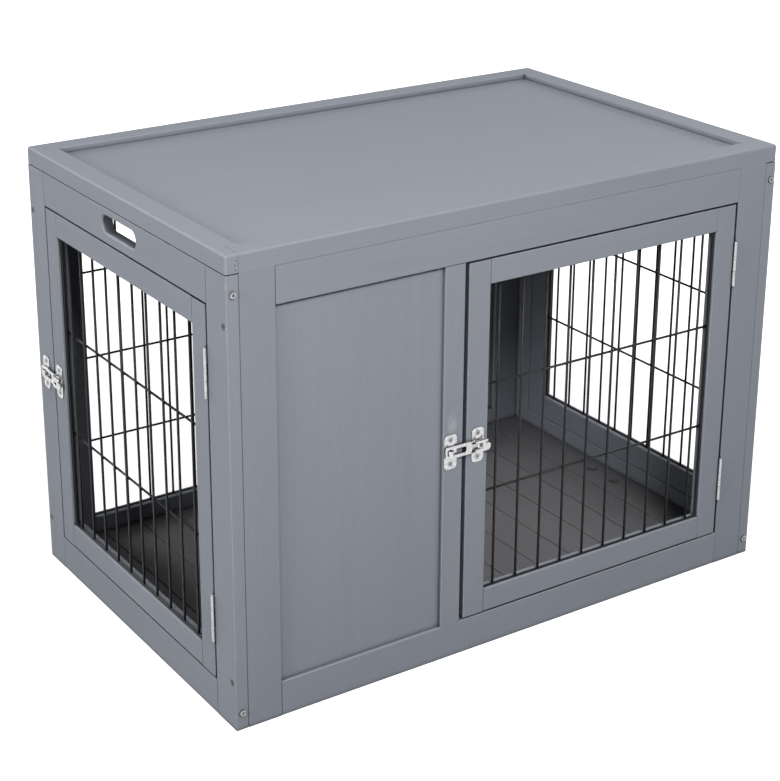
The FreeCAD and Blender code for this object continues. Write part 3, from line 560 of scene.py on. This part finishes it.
def buildGrilleTree():
    # drawn in the XZ plane, with the opening's lower left corner at the origin
    numbers = ["Width", "Height", "Cross Spacing", "Turn"] + list(grilleMeasures)
    counts = ["Bar Count", "Cross Count", "Sides"]
    tree, given, end = geometryTree("wireGrille", [(label, "NodeSocketFloat", None) for label in numbers]
                                    + [(label, "NodeSocketInt", None) for label in counts]
                                    + [("Place", "NodeSocketVector", None),
                                       ("Material", "NodeSocketMaterial", None)])
    quarter = math.radians(90)
    pitch = mathNode(tree, "DIVIDE", given["Width"], given["Bar Count"])
    firstBar = mathNode(tree, "MULTIPLY", pitch, 0.5)
    halfHigh = mathNode(tree, "MULTIPLY", given["Height"], 0.5)
    halfWide = mathNode(tree, "MULTIPLY", given["Width"], 0.5)
    barLength = mathNode(tree, "MULTIPLY_ADD", given["Outset"], 2.0, given["Height"])
    # upright bars
    bars = geometryNode(tree, "MeshLine", mode="OFFSET", inputs={
        "Count": given["Bar Count"], "Offset": vectorNode(tree, pitch),
        "Start Location": vectorNode(tree, firstBar, given["Frame Depth"], halfHigh)})
    barShape = geometryNode(tree, "MeshCylinder", {"Vertices": given["Sides"], "Radius": given["Bar Radius"],
                                                   "Depth": barLength})
    barCopies = geometryNode(tree, "InstanceOnPoints", {"Points": bars, "Instance": barShape})
    # cross wires, behind the bars
    reach = mathNode(tree, "SUBTRACT", given["Cross Count"], 1.0)
    drop = mathNode(tree, "MULTIPLY", reach, given["Cross Spacing"])
    firstCross = mathNode(tree, "SUBTRACT", halfHigh, mathNode(tree, "MULTIPLY", drop, 0.5))
    crosses = geometryNode(tree, "MeshLine", mode="OFFSET", inputs={
        "Count": given["Cross Count"], "Offset": vectorNode(tree, z=given["Cross Spacing"]),
        "Start Location": vectorNode(tree, halfWide, given["Cross Depth"], firstCross)})
    crossShape = geometryNode(tree, "MeshCylinder",
                              {"Vertices": given["Sides"], "Radius": given["Cross Radius"],
                                                     "Depth": given["Width"]})
    lying = geometryNode(tree, "Transform", {"Geometry": crossShape, "Rotation": (0.0, quarter, 0.0)})
    crossCopies = geometryNode(tree, "InstanceOnPoints", {"Points": crosses, "Instance": lying})
    # weld beads where bars and cross wires meet
    halfDepth = mathNode(tree, "MULTIPLY",
                         mathNode(tree, "SUBTRACT", given["Frame Depth"], given["Cross Depth"]), 0.5)
    beadRow = geometryNode(tree, "MeshLine", mode="OFFSET", inputs={
        "Count": given["Bar Count"], "Offset": vectorNode(tree, pitch),
        "Start Location": vectorNode(tree, mathNode(tree, "SUBTRACT", firstBar, halfWide), halfDepth)})
    beadRows = geometryNode(tree, "InstanceOnPoints", {"Points": crosses, "Instance": beadRow})
    beadPoints = geometryNode(tree, "RealizeInstances", {"Geometry": beadRows})
    bead = geometryNode(tree, "MeshIcoSphere", {"Subdivisions": 2, "Radius": given["Weld Radius"]})
    flattened = geometryNode(tree, "Transform", {"Geometry": bead, "Scale": (0.85, 0.75, 0.85)})
    beads = geometryNode(tree, "InstanceOnPoints", {"Points": beadPoints, "Instance": flattened})
    # the frame wire, bent at its corners
    ring = geometryNode(tree, "CurvePrimitiveQuadrilateral", {
        "Width": mathNode(tree, "MULTIPLY_ADD", given["Outset"], 2.0, given["Width"]), "Height": barLength})
    bent = geometryNode(tree, "FilletCurve", {"Curve": ring, "Radius": given["Bend"], "Count": 6},
                        mode="POLY")
    upright = geometryNode(tree, "Transform", {
        "Geometry": bent, "Rotation": (quarter, 0.0, 0.0),
        "Translation": vectorNode(tree, halfWide, given["Frame Depth"], halfHigh)})
    section = geometryNode(tree, "CurvePrimitiveCircle", {"Resolution": given["Sides"],
                                                          "Radius": given["Frame Radius"]}, mode="RADIUS")
    ringMesh = geometryNode(tree, "CurveToMesh", {"Curve": upright, "Profile Curve": section})
    # all together, set in place
    joined = addNode(tree, "GeometryNodeJoinGeometry")
    for source in (barCopies, crossCopies, beads, ringMesh):
        tree.links.new(source, joined.inputs["Geometry"])
    placed = geometryNode(tree, "Transform", {
        "Geometry": joined.outputs[0], "Translation": given["Place"], "Rotation": vectorNode(tree,
                                                                                             z=given["Turn"])})
    smooth = geometryNode(tree, "SetShadeSmooth", {"Geometry": placed})
    real = geometryNode(tree, "RealizeInstances", {"Geometry": smooth})
    feed(tree, end, geometryNode(tree, "SetMaterial", {"Geometry": real, "Material": given["Material"]}))
    return tree


def wireGrilles():
    look = grilleLook
    tree = buildGrilleTree()
    proud = look["outset"] + look["frameRadius"]     # the frame wire's reach past the opening
    inward = look["frameDepth"] - look["frameRadius"]  # from the leaf's face to the frame wire
    for node, stand in grilles.items():
        low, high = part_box(node)
        size = high - low
        wide = max(size.x, size.y) - 2 * proud
        tall = size.z - 2 * proud
        corner = {0: (low.x + proud, low.y - inward), 180: (high.x - proud, high.y + inward),
                  -90: (low.x - inward, high.y - proud), 90: (high.x + inward, low.y + proud)}[stand["turn"]]
        piece = newObject("wired_" + node, bpy.data.meshes.new("wired_" + node))
        grow(piece, tree, {
            "Width": wide, "Height": tall, "Bar Count": max(2, round(wide / look["pitch"])),
            "Cross Count": stand["crossCount"], "Cross Spacing": stand["crossSpacing"], "Sides": look["sides"],
            **{label: look[key] for label, key in grilleMeasures.items()},
            "Place": (corner[0], corner[1], low.z + proud), "Turn": math.radians(stand["turn"]),
            "Material": metals["blackPowder"]})
        dress(piece, bodyOf[node], [node])
    print("grilles wired:", len(grilles))


wireGrilles()


# outlines for stamped metal, as points in millimetres
def arcPoints(x, y, radius, startAngle, endAngle, steps=6):
    points = []
    for step in range(steps + 1):
        turn = math.radians(startAngle + (endAngle - startAngle) * step / steps)
        points.append((x + radius * math.cos(turn), y + radius * math.sin(turn)))
    return points


def roundPoints(x, y, radius, steps=32):
    return arcPoints(x, y, radius, 0, 360 * (steps - 1) / steps, steps - 1)


def roundedOutline(xSpan, ySpan, radius, steps=6):
    x0, x1 = xSpan
    y0, y1 = ySpan
    return (arcPoints(x1 - radius, y1 - radius, radius, 0, 90, steps)
            + arcPoints(x0 + radius, y1 - radius, radius, 90, 180, steps)
            + arcPoints(x0 + radius, y0 + radius, radius, 180, 270, steps)
            + arcPoints(x1 - radius, y0 + radius, radius, 270, 360, steps))


def crossOutline(x, y, reach, half):
    # the recess of a cross-head screw
    quarter = [(reach, -half), (reach, half), (half, half)]
    points = []
    for turn in range(4):
        c, s = [(1, 0), (0, 1), (-1, 0), (0, -1)][turn]
        points += [(x + c * px - s * py, y + s * px + c * py) for px, py in quarter]
    return points


def stamped(outline, cutouts, bottom, top, edge):
    # sheet metal from outlines in its own plane, its edges rounded over; returns a bmesh in millimetres
    curve = bpy.data.curves.new("stamping", "CURVE")
    curve.dimensions = "2D"
    curve.fill_mode = "BOTH"
    curve.extrude = (top - bottom) / 2 - edge
    curve.bevel_depth = edge
    curve.bevel_resolution = 1
    curve.offset = -edge
    for points in [outline] + cutouts:
        spline = curve.splines.new("POLY")
        spline.points.add(len(points) - 1)
        for point, (x, y) in zip(spline.points, points):
            point.co = (x, y, 0, 1)
        spline.use_cyclic_u = True
    holder = newObject("stamping", curve)
    bpy.context.view_layer.update()
    mesh = bpy.data.meshes.new_from_object(holder.evaluated_get(bpy.context.evaluated_depsgraph_get()))
    bm = bmesh.new()
    bm.from_mesh(mesh)
    bpy.data.objects.remove(holder)
    bpy.data.curves.remove(curve)
    bpy.data.meshes.remove(mesh)
    bmesh.ops.remove_doubles(bm, verts=bm.verts, dist=1e-4)
    bmesh.ops.translate(bm, verts=bm.verts, vec=(0, 0, (top + bottom) / 2))
    bmesh.ops.recalc_face_normals(bm, faces=bm.faces)
    return bm


def turned(profile, steps=28):
    # a solid of revolution about Z from (radius, height) points, closed at its ends
    bm = bmesh.new()
    rings = []
    for radius, height in profile:
        if radius < 1e-6:
            rings.append([bm.verts.new((0, 0, height))])
        else:
            rings.append([bm.verts.new((radius * math.cos(2 * math.pi * step / steps),
                                        radius * math.sin(2 * math.pi * step / steps), height))
                          for step in range(steps)])
    for lower, upper in zip(rings, rings[1:]):
        for step in range(steps):
            after = (step + 1) % steps
            if len(lower) == 1:
                bm.faces.new((lower[0], upper[after], upper[step]))
            elif len(upper) == 1:
                bm.faces.new((lower[step], lower[after], upper[0]))
            else:
                bm.faces.new((lower[step], lower[after], upper[after], upper[step]))
    bmesh.ops.recalc_face_normals(bm, faces=bm.faces)
    return bm


def barrelProfile(radius, bottom, top, edge):
    return [(0, bottom), (radius - edge, bottom), (radius, bottom + edge),
            (radius, top - edge), (radius - edge, top), (0, top)]


def gather(parts):
    # several (bmesh, matrix) pairs in one
    whole = bmesh.new()
    for bm, matrix in parts:
        bmesh.ops.transform(bm, matrix=matrix, verts=bm.verts)
        mesh = bpy.data.meshes.new("gathered")
        bm.to_mesh(mesh)
        bm.free()
        whole.from_mesh(mesh)
        bpy.data.meshes.remove(mesh)
    return whole


crispAngle = 38      # degrees; edges sharper than this stay crisp in stamped metal


def crispObject(name, bm):
    for face in bm.faces:
        face.smooth = True
    mesh = bpy.data.meshes.new(name)
    bm.to_mesh(mesh)
    bm.free()
    mesh.set_sharp_from_angle(angle=math.radians(crispAngle))
    return newObject(name, mesh)


def metalPiece(name, bm, place, material, body, nodes):
    # from millimetres in a door's own frame to metres in the object's
    bmesh.ops.transform(bm, matrix=place @ Matrix.Scale(0.001, 4), verts=bm.verts)
    piece = crispObject(name, bm)
    piece.data.materials.append(material)
    dress(piece, body, nodes)


# a door's own frame: x from its latch edge, y inward from its outer face, z up from its bottom
def doorFrames():
    low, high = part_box("front_door_latch_stile")
    endLow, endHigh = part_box("end_door_latch_stile")
    return {"front": Matrix.Translation(low),
            "end": Matrix.Translation((endLow.x, endHigh.y, endLow.z)) @ Matrix.Rotation(math.radians(-90),
                                                                                         4, "Z")}


doors = doorFrames()
flat = Matrix.Rotation(math.radians(90), 4, "X")          # a plate's own z turns to face outward
doorHeight = (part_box("front_door_latch_stile")[1].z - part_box("front_door_latch_stile")[0].z) * 1000
doorWidth = (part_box("front_door_hinge_stile")[1].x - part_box("front_door_latch_stile")[0].x) * 1000

# sizes in millimetres, in the door's frame; heights are measured outward from its face
latchLook = {
    "plateThickness": 1.2, "plateLength": 45.0, "plateCorner": 6.0, "screwSpacing": 31.0, "screwHole": 3.1,
    "base": (7.1, 24.8), "keeper": (-33.1, -14.7),
    "pivot": (9.3, 3.8), "linkPivot": (15.3, 3.5), "earRadius": 2.2, "earThickness": 1.0,
    "leverWidth": 14.6, "leverPlate": (6.2, 7.4), "leverSlotHalf": 3.75, "cheekThickness": 1.0,
    "strap": (-33.1, 5.7), "strapHalf": 8.0, "strapThickness": 1.2, "strapSlot": (-29.9, -2.6),
    "strapSlotHalf": 3.75, "neckHalf": 3.1, "eyeRadius": 1.9, "pinRadius": 1.0, "tongueLeft": -28.9, "tongueHalf": 3.0,
    "tongueHeight": 7.2, "curlRadius": 3.6, "curlThickness": 1.2, "curlEnd": -40, "edge": 0.18,
    "leverTail": 0.6, "leverWaist": 23.7, "leverTip": 30.7, "tabCorner": 4.0, "tabTop": 2.5, "notchHalf": 0.55,
    "shoulder": 25.5, "shoulderCorner": 1.7, "shoulderFoot": 3.6, "slotEnd": 18.5, "slotCorner": 1.0,
    "cheekNose": ((20.7, 2.4), (21.7, 3.4)), "footHeight": 0.6, "bossRadius": 1.45, "strapCorner": 3.0,
}


def latchPlate(span, middle):
    look = latchLook
    half = look["plateLength"] / 2
    outline = roundedOutline(span, (middle - half, middle + half), look["plateCorner"])
    centre = sum(span) / 2
    drilled = [roundPoints(centre, middle + side * look["screwSpacing"] / 2,
                           look["screwHole"]) for side in (-1, 1)]
    return stamped(outline, drilled, 0, look["plateThickness"], look["edge"])


def crossways(x, height, middle, low, high, radius, edge):
    # a short barrel along the pin's direction, between two offsets from the latch's middle
    bm = turned(barrelProfile(radius, low, high, edge))
    return bm, Matrix.Translation((x, -height, middle))


def sidePlate(outline, low, high, middle, edge):
    # a plate that stands up from the door, drawn in x and height
    bm = stamped(outline, [], low, high, edge)
    turn = Matrix(((1, 0, 0, 0), (0, -1, 0, 0), (0, 0, 1, middle), (0, 0, 0, 1)))
    bmesh.ops.transform(bm, matrix=turn, verts=bm.verts)
    bmesh.ops.recalc_face_normals(bm, faces=bm.faces)
    return bm, Matrix.Identity(4)


def buildLatchBase(middle):
    look = latchLook
    x, height = look["pivot"]
    radius = look["earRadius"]
    parts = [(latchPlate(look["base"], middle), flat)]
    inner = look["leverWidth"] / 2 + 0.2
    ear = [(x - radius, 0.6), (x + radius, 0.6)] + arcPoints(x, height, radius, 0, 180, 10)
    for side in (-1, 1):
        low, high = sorted((side * inner, side * (inner + look["earThickness"])))
        parts.append(sidePlate(ear, low, high, middle, look["edge"]))
        bossLow, bossHigh = sorted((side * (look["leverWidth"] / 2 - 1),
                                    side * (inner + look["earThickness"] / 2)))
        parts.append(crossways(x, height, middle, bossLow, bossHigh, look["bossRadius"], 0.2))
    return gather(parts)


def buildKeeper(middle):
    # the tongue rises through the strap's slot and curls over
    look = latchLook
    left = look["tongueLeft"]
    outer, inner = look["curlRadius"], look["curlRadius"] - look["curlThickness"]
    x, height = left + outer, look["tongueHeight"] - outer
    strip = ([(left, 0.6)] + arcPoints(x, height, outer, 180, look["curlEnd"], 14)
             + arcPoints(x, height, inner, look["curlEnd"], 180, 12) + [(x - inner, 0.6)])
    half = look["tongueHalf"]
    return gather([(latchPlate(look["keeper"], middle), flat), sidePlate(strip, -half, half, middle, 0.25)])


def buildLever(middle):
    look = latchLook
    x, height = look["pivot"]
    low, high = look["leverPlate"]
    half, slot, inset = look["leverWidth"] / 2, look["leverSlotHalf"], look["slotCorner"]
    start, waist, notch = x - look["leverTail"], look["leverWaist"], look["notchHalf"]
    tab, top = look["tabCorner"], look["tabTop"]
    tabX, foot = look["leverTip"] - tab, look["shoulderFoot"]
    shoulder, corner, slotEnd = look["shoulder"], look["shoulderCorner"], look["slotEnd"]
    outline = ([(start, -half)] + arcPoints(tabX, -half + tab, tab, -90, 0)
               + arcPoints(tabX, top - tab, tab, 0, 90)
               + [(waist + 0.6, top), (waist, top + notch), (waist + 0.6, foot)]
               + arcPoints(shoulder, foot + corner, corner, -90, 0)
               + arcPoints(shoulder, half - corner, corner, 0, 90)
               + [(start, half), (start, slot)] + arcPoints(slotEnd, slot - inset, inset, 90, 0)
               + arcPoints(slotEnd, inset - slot, inset, 0, -90) + [(start, -slot)])
    shifted = [(px, py + middle) for px, py in outline]
    parts = [(stamped(shifted, [], low, high, 0.25), flat)]
    under = high - 0.1
    cheek = (arcPoints(x, height, look["earRadius"], 90, 318, 14) + list(look["cheekNose"])
             + [(look["cheekNose"][1][0], under), (x, under)])
    for side in (-1, 1):
        near, far = sorted((side * (half - look["cheekThickness"]), side * half))
        parts.append(sidePlate(cheek, near, far, middle, look["edge"]))
    return gather(parts)


def buildLink(middle):
    look = latchLook
    x, height = look["linkPivot"]
    low, high = height - look["strapThickness"] / 2, height + look["strapThickness"] / 2
    left, shoulder = look["strap"]
    half, neck = look["strapHalf"], look["neckHalf"]
    outline = (arcPoints(shoulder - 3, -half + 3, 3, -90, 0) + [(shoulder, -neck), (x, -neck), (x, neck),
                                                                (shoulder, neck)]
               + arcPoints(shoulder - 3, half - 3, 3, 0, 90) + arcPoints(left + 3, half - 3, 3, 90, 180)
               + arcPoints(left + 3, 3 - half, 3, 180, 270))
    slot = roundedOutline(look["strapSlot"],
                          (middle - look["strapSlotHalf"], middle + look["strapSlotHalf"]), 2.0)
    strap = stamped([(px, py + middle) for px, py in outline], [slot], low, high, 0.2)
    return gather([(strap, flat), crossways(x, height, middle, -neck, neck, look["eyeRadius"], 0.2)])


def buildLinkPin(middle):
    look = latchLook
    x, height = look["linkPivot"]
    half = look["leverWidth"] / 2
    return gather([crossways(x, height, middle, -half, half, look["pinRadius"], 0.25)])


def buildLatches():
    middle = doorHeight / 2
    keepers = []
    for side, place in doors.items():
        made = {"latch_base": buildLatchBase, "latch_lever": buildLever, "latch_link": buildLink,
                "latch_link_pin": buildLinkPin}
        for part, maker in made.items():
            node = side + "_" + part
            metalPiece("formed_" + node, maker(middle), place, metals["nickelPlate"], bodyOf[node],
                       [node])
        keepers.append((buildKeeper(middle), place @ Matrix.Scale(0.001, 4)))
    both = gather(keepers)
    metalPiece("formed_latch_keepers", both, Matrix.Scale(1000, 4), metals["nickelPlate"],
               bodyOf["latch_keepers"], ["latch_keepers"])
    print("latches formed:", len(doors))


buildLatches()

# butt hinges, in millimetres in the door's frame
hingeLook = {
    "length": 60.0, "inset": 49.0, "leafThickness": 1.2, "leafDepth": 12.5, "axisOut": 1.8, "gap": 3.2,
    "barrel": 2.1, "knuckles": 3, "knuckleGap": 0.2, "pin": 1.1, "headRadius": 1.9, "headHeight": 0.8,
    "screwRadius": 2.2, "screwPlaces": (10.0, 30.0, 50.0), "screwDepth": 7.2, "edge": 0.15,
}


def hingeStarts():
    look = hingeLook
    return [look["inset"], doorHeight - look["inset"] - look["length"]]


def hingeLeaf(start, plateLow, plateHigh, ownTurn):
    # the leaf stands in the gap, and every second knuckle of the barrel is its own
    look = hingeLook
    axisX = doorWidth + look["gap"] / 2
    length = look["length"] / look["knuckles"]
    fingers = []
    for index in range(look["knuckles"]):
        low = start + index * length
        if index % 2 == ownTurn:
            fingers += [(-look["axisOut"], low + 0.2), (-look["axisOut"], low + length - 0.2)]
        else:
            fingers += [(1.0, low - 0.2), (1.0, low + length + 0.2)]
    back = arcPoints(look["leafDepth"] - 2, start + look["length"] - 2, 2, 90,
                     0) + arcPoints(look["leafDepth"] - 2, start + 2, 2, 0, -90)
    outline = fingers + back
    drilled = [roundPoints(look["screwDepth"], start + z, look["screwRadius"],
                           20) for z in look["screwPlaces"]]
    leaf = stamped(outline, drilled, plateLow, plateHigh, look["edge"])
    stand = Matrix(((0, 0, 1, 0), (1, 0, 0, 0), (0, 1, 0, 0), (0, 0, 0, 1)))
    parts = [(leaf, stand)]
    for index in range(look["knuckles"]):
        if index % 2 == ownTurn:
            low = start + index * length + look["knuckleGap"] / 2
            knuckle = turned(barrelProfile(look["barrel"], low, low + length - look["knuckleGap"], 0.25))
            parts.append((knuckle, Matrix.Translation((axisX, -look["axisOut"], 0))))
    return gather(parts)


def hingePin(start):
    look = hingeLook
    axis = Matrix.Translation((doorWidth + look["gap"] / 2, -look["axisOut"], 0))
    top = start + look["length"]
    profile = [(0, start), (look["pin"], start), (look["pin"], top), (look["headRadius"], top),
               (look["headRadius"], top + look["headHeight"] * 0.5), (look["headRadius"] * 0.7,
                                                                      top + look["headHeight"] * 0.9),
               (0, top + look["headHeight"])]
    return turned(profile), axis


def buildHinges():
    look = hingeLook
    toMetres = Matrix.Scale(0.001, 4)
    frameLeaves, pins = [], []
    for side, place in doors.items():
        doorLeaves = gather([(hingeLeaf(start, doorWidth, doorWidth + look["leafThickness"], 1),
                              Matrix.Identity(4))
                             for start in hingeStarts()])
        node = side + "_hinge_door_leaves"
        metalPiece("formed_" + node, doorLeaves, place, metals["zincPlate"], bodyOf[node],
                   [node])
        jamb = doorWidth + look["gap"]
        for start in hingeStarts():
            frameLeaves.append((hingeLeaf(start, jamb - look["leafThickness"], jamb, 0), place @ toMetres))
            pin, axis = hingePin(start)
            pins.append((pin, place @ toMetres @ axis))
    for node, parts in (("hinge_frame_leaves", frameLeaves), ("hinge_pins", pins)):
        metalPiece("formed_" + node, gather(parts), Matrix.Scale(1000, 4), metals["zincPlate"], bodyOf[node],
                   [node])
    print("hinges formed:", len(doors) * 2)


buildHinges()


# screws and bolts: one is formed, and Geometry Nodes set the copies on points that carry their own turn
def buildCopiesTree():
    tree, given, end = geometryTree("setCopies", [
        ("Template", "NodeSocketObject", None), ("Material", "NodeSocketMaterial", None),
        ("Spin Seed", "NodeSocketInt", 5)])
    template = addNode(tree, "GeometryNodeObjectInfo", {"Object": given["Template"]},
                       transform_space="ORIGINAL")
    facing = addNode(tree, "GeometryNodeInputNamedAttribute", {"Name": "facing"}, data_type="FLOAT_VECTOR")
    turn = addNode(tree, "FunctionNodeAlignRotationToVector", {"Vector": facing.outputs["Attribute"]},
                   axis="Z")
    spin = addNode(tree, "FunctionNodeRandomValue", data_type="FLOAT", inputs={
        "Min": 0.0, "Max": 2 * math.pi, "Seed": given["Spin Seed"]})
    own = addNode(tree, "FunctionNodeAxisAngleToRotation", {"Axis": (0.0, 0.0, 1.0),
                                                            "Angle": spin.outputs["Value"]})
    both = addNode(tree, "FunctionNodeRotateRotation", rotation_space="LOCAL", inputs={
        "Rotation": turn.outputs["Rotation"], "Rotate By": own.outputs["Rotation"]})
    copies = geometryNode(tree, "InstanceOnPoints", {
        "Points": given["Geometry"], "Instance": template.outputs["Geometry"], "Rotation": both.outputs["Rotation"]})
    real = geometryNode(tree, "RealizeInstances", {"Geometry": copies})
    feed(tree, end, geometryNode(tree, "SetMaterial", {"Geometry": real, "Material": given["Material"]}))
    return tree


copiesTree = buildCopiesTree()


def setCopies(name, template, places, material, body, nodes, seed):
    # places are (point, direction the head faces) pairs in metres
    mesh = bpy.data.meshes.new(name)
    mesh.from_pydata([tuple(point) for point, _ in places], [], [])
    facing = mesh.attributes.new("facing", "FLOAT_VECTOR", "POINT")
    for item, (_, direction) in zip(facing.data, places):
        item.vector = direction
    piece = newObject(name, mesh)
    grow(piece, copiesTree, {"Template": template, "Material": material, "Spin Seed": seed})
    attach(piece, body)
    if nodes:
        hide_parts(*nodes)
    return piece


def templateOf(bm, name):
    bmesh.ops.transform(bm, matrix=Matrix.Scale(0.001, 4), verts=bm.verts)
    return crispObject(name, bm)


def crossHead(radius, rise, depth):
    # a countersunk head with a cross recess; its rim is level with z = 0
    recess = crossOutline(0, 0, radius * 0.58, radius * 0.13)
    face = stamped(roundPoints(0, 0, radius * 0.96, 28), [recess], -0.5, rise, 0.12)
    cone = turned([(0, -depth), (radius * 0.55, -depth), (radius * 0.96, -0.45), (0, -0.45)])
    return gather([(face, Matrix.Identity(4)), (cone, Matrix.Identity(4))])


def socketBolt(look):
    head = stamped(roundPoints(0, 0, look["headRadius"], 36),
                   [roundPoints(0, 0, look["socket"] / math.sqrt(3), 6)],
                   look["headHeight"] - look["socketDepth"], look["headHeight"], 0.25)
    under = turned([(0, 0.01), (look["headRadius"], 0.01),
                    (look["headRadius"], look["headHeight"] - look["socketDepth"] + 0.3),
                    (0, look["headHeight"] - look["socketDepth"] + 0.02)], 36)
    shank = turned(barrelProfile(look["shankRadius"], -look["length"], 0.1, 0.6))
    return gather([(part, Matrix.Identity(4)) for part in (head, under, shank)])


# in millimetres
boltLook = {"headRadius": 4.0, "headHeight": 2.2, "socket": 3.0, "socketDepth": 1.4, "shankRadius": 2.5,
            "length": 68.0}
screwLook = {"headRadius": 4.0, "headDepth": 2.2, "shankRadius": 2.0, "length": 38.0, "aboveRail": 15.0,
             "panelTongue": 7.0}


def placeBolts():
    template = templateOf(socketBolt(boltLook), "boltTemplate")
    caseFront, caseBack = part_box("front_left_stile")[0].y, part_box("back_left_stile")[1].y
    places = []
    for post in ("left_front_post", "right_front_post"):
        low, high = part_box(post)
        x = (low.x + high.x) / 2
        for rail in ("left_bottom_rail", "left_top_rail"):
            z = (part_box(rail)[0].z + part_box(rail)[1].z) / 2
            places.append(((x, caseFront, z), (0, -1, 0)))
            places.append(((x, caseBack, z), (0, 1, 0)))
    setCopies("case_bolt_heads", template, places, metals["screwSteel"], bodyOf["case_bolts"],
              ["case_bolts"], 5)
    bpy.data.objects.remove(template)
    print("case bolts:", len(places))


def placeCaseScrews():
    look = screwLook
    head = crossHead(look["headRadius"], 0.0, look["headDepth"])
    shank = turned(barrelProfile(look["shankRadius"], -look["length"], -look["headDepth"] + 0.1, 0.5))
    template = templateOf(gather([(head, Matrix.Identity(4)), (shank, Matrix.Identity(4))]), "screwTemplate")
    leftFace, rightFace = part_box("left_front_post")[0].x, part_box("right_front_post")[1].x
    heights = [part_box("left_bottom_rail")[1].z + look["aboveRail"] / 1000,
               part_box("front_panel")[1].z - (look["panelTongue"] + look["aboveRail"]) / 1000]
    places = []
    for stile in ("front_left_stile", "back_left_stile"):
        y = (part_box(stile)[0].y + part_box(stile)[1].y) / 2
        for z in heights:
            places.append(((leftFace, y, z), (-1, 0, 0)))
            places.append(((rightFace, y, z), (1, 0, 0)))
    setCopies("case_screw_heads", template, places, metals["darkOxide"], bodyOf["case_screws"],
              ["case_screws"], 9)
    bpy.data.objects.remove(template)
    print("case screws:", len(places))


def placeSmallScrews():
    # the latches' and hinges' own wood screws
    latchHead = templateOf(crossHead(3.2, 0.25, 1.6), "latchScrewTemplate")
    hingeHead = templateOf(crossHead(2.2, 0.05, 1.2), "hingeScrewTemplate")
    look, hinge = latchLook, hingeLook
    middle = doorHeight / 2
    keeperScrews, frameScrews = [], []
    for index, (side, place) in enumerate(doors.items()):
        turn = place.to_3x3()
        outward = turn @ Vector((0, -1, 0))

        def at(x, y, z):
            return place @ (Vector((x, y, z)) * 0.001)
        heights = [middle + end * look["screwSpacing"] / 2 for end in (-1, 1)]
        top = -look["plateThickness"]
        baseScrews = [(at(sum(look["base"]) / 2, top, z), outward) for z in heights]
        keeperScrews += [(at(sum(look["keeper"]) / 2, top, z), outward) for z in heights]
        body = bodyOf[side + "_latch_base"]
        setCopies(side + "_latch_screws", latchHead, baseScrews, metals["screwSteel"], body,
                  [], 11 + index)
        doorLeafScrews = []
        for start in hingeStarts():
            for along in hinge["screwPlaces"]:
                z = start + along
                doorLeafScrews.append((at(doorWidth + hinge["leafThickness"], hinge["screwDepth"], z),
                                       turn @ Vector((1, 0, 0))))
                jamb = doorWidth + hinge["gap"] - hinge["leafThickness"]
                frameScrews.append((at(jamb, hinge["screwDepth"], z), turn @ Vector((-1, 0, 0))))
        setCopies(side + "_hinge_door_screws", hingeHead, doorLeafScrews, metals["screwSteel"], body,
                  [], 21 + index)
    setCopies("keeper_screws", latchHead, keeperScrews, metals["screwSteel"], bodyOf["latch_keepers"],
              [], 31)
    setCopies("hinge_frame_screws", hingeHead, frameScrews, metals["screwSteel"],
              bodyOf["hinge_frame_leaves"], [], 41)
    for template in (latchHead, hingeHead):
        bpy.data.objects.remove(template)
    print("small screws:", len(keeperScrews) * 2 + len(frameScrews) * 2)


placeBolts()
placeCaseScrews()
placeSmallScrews()
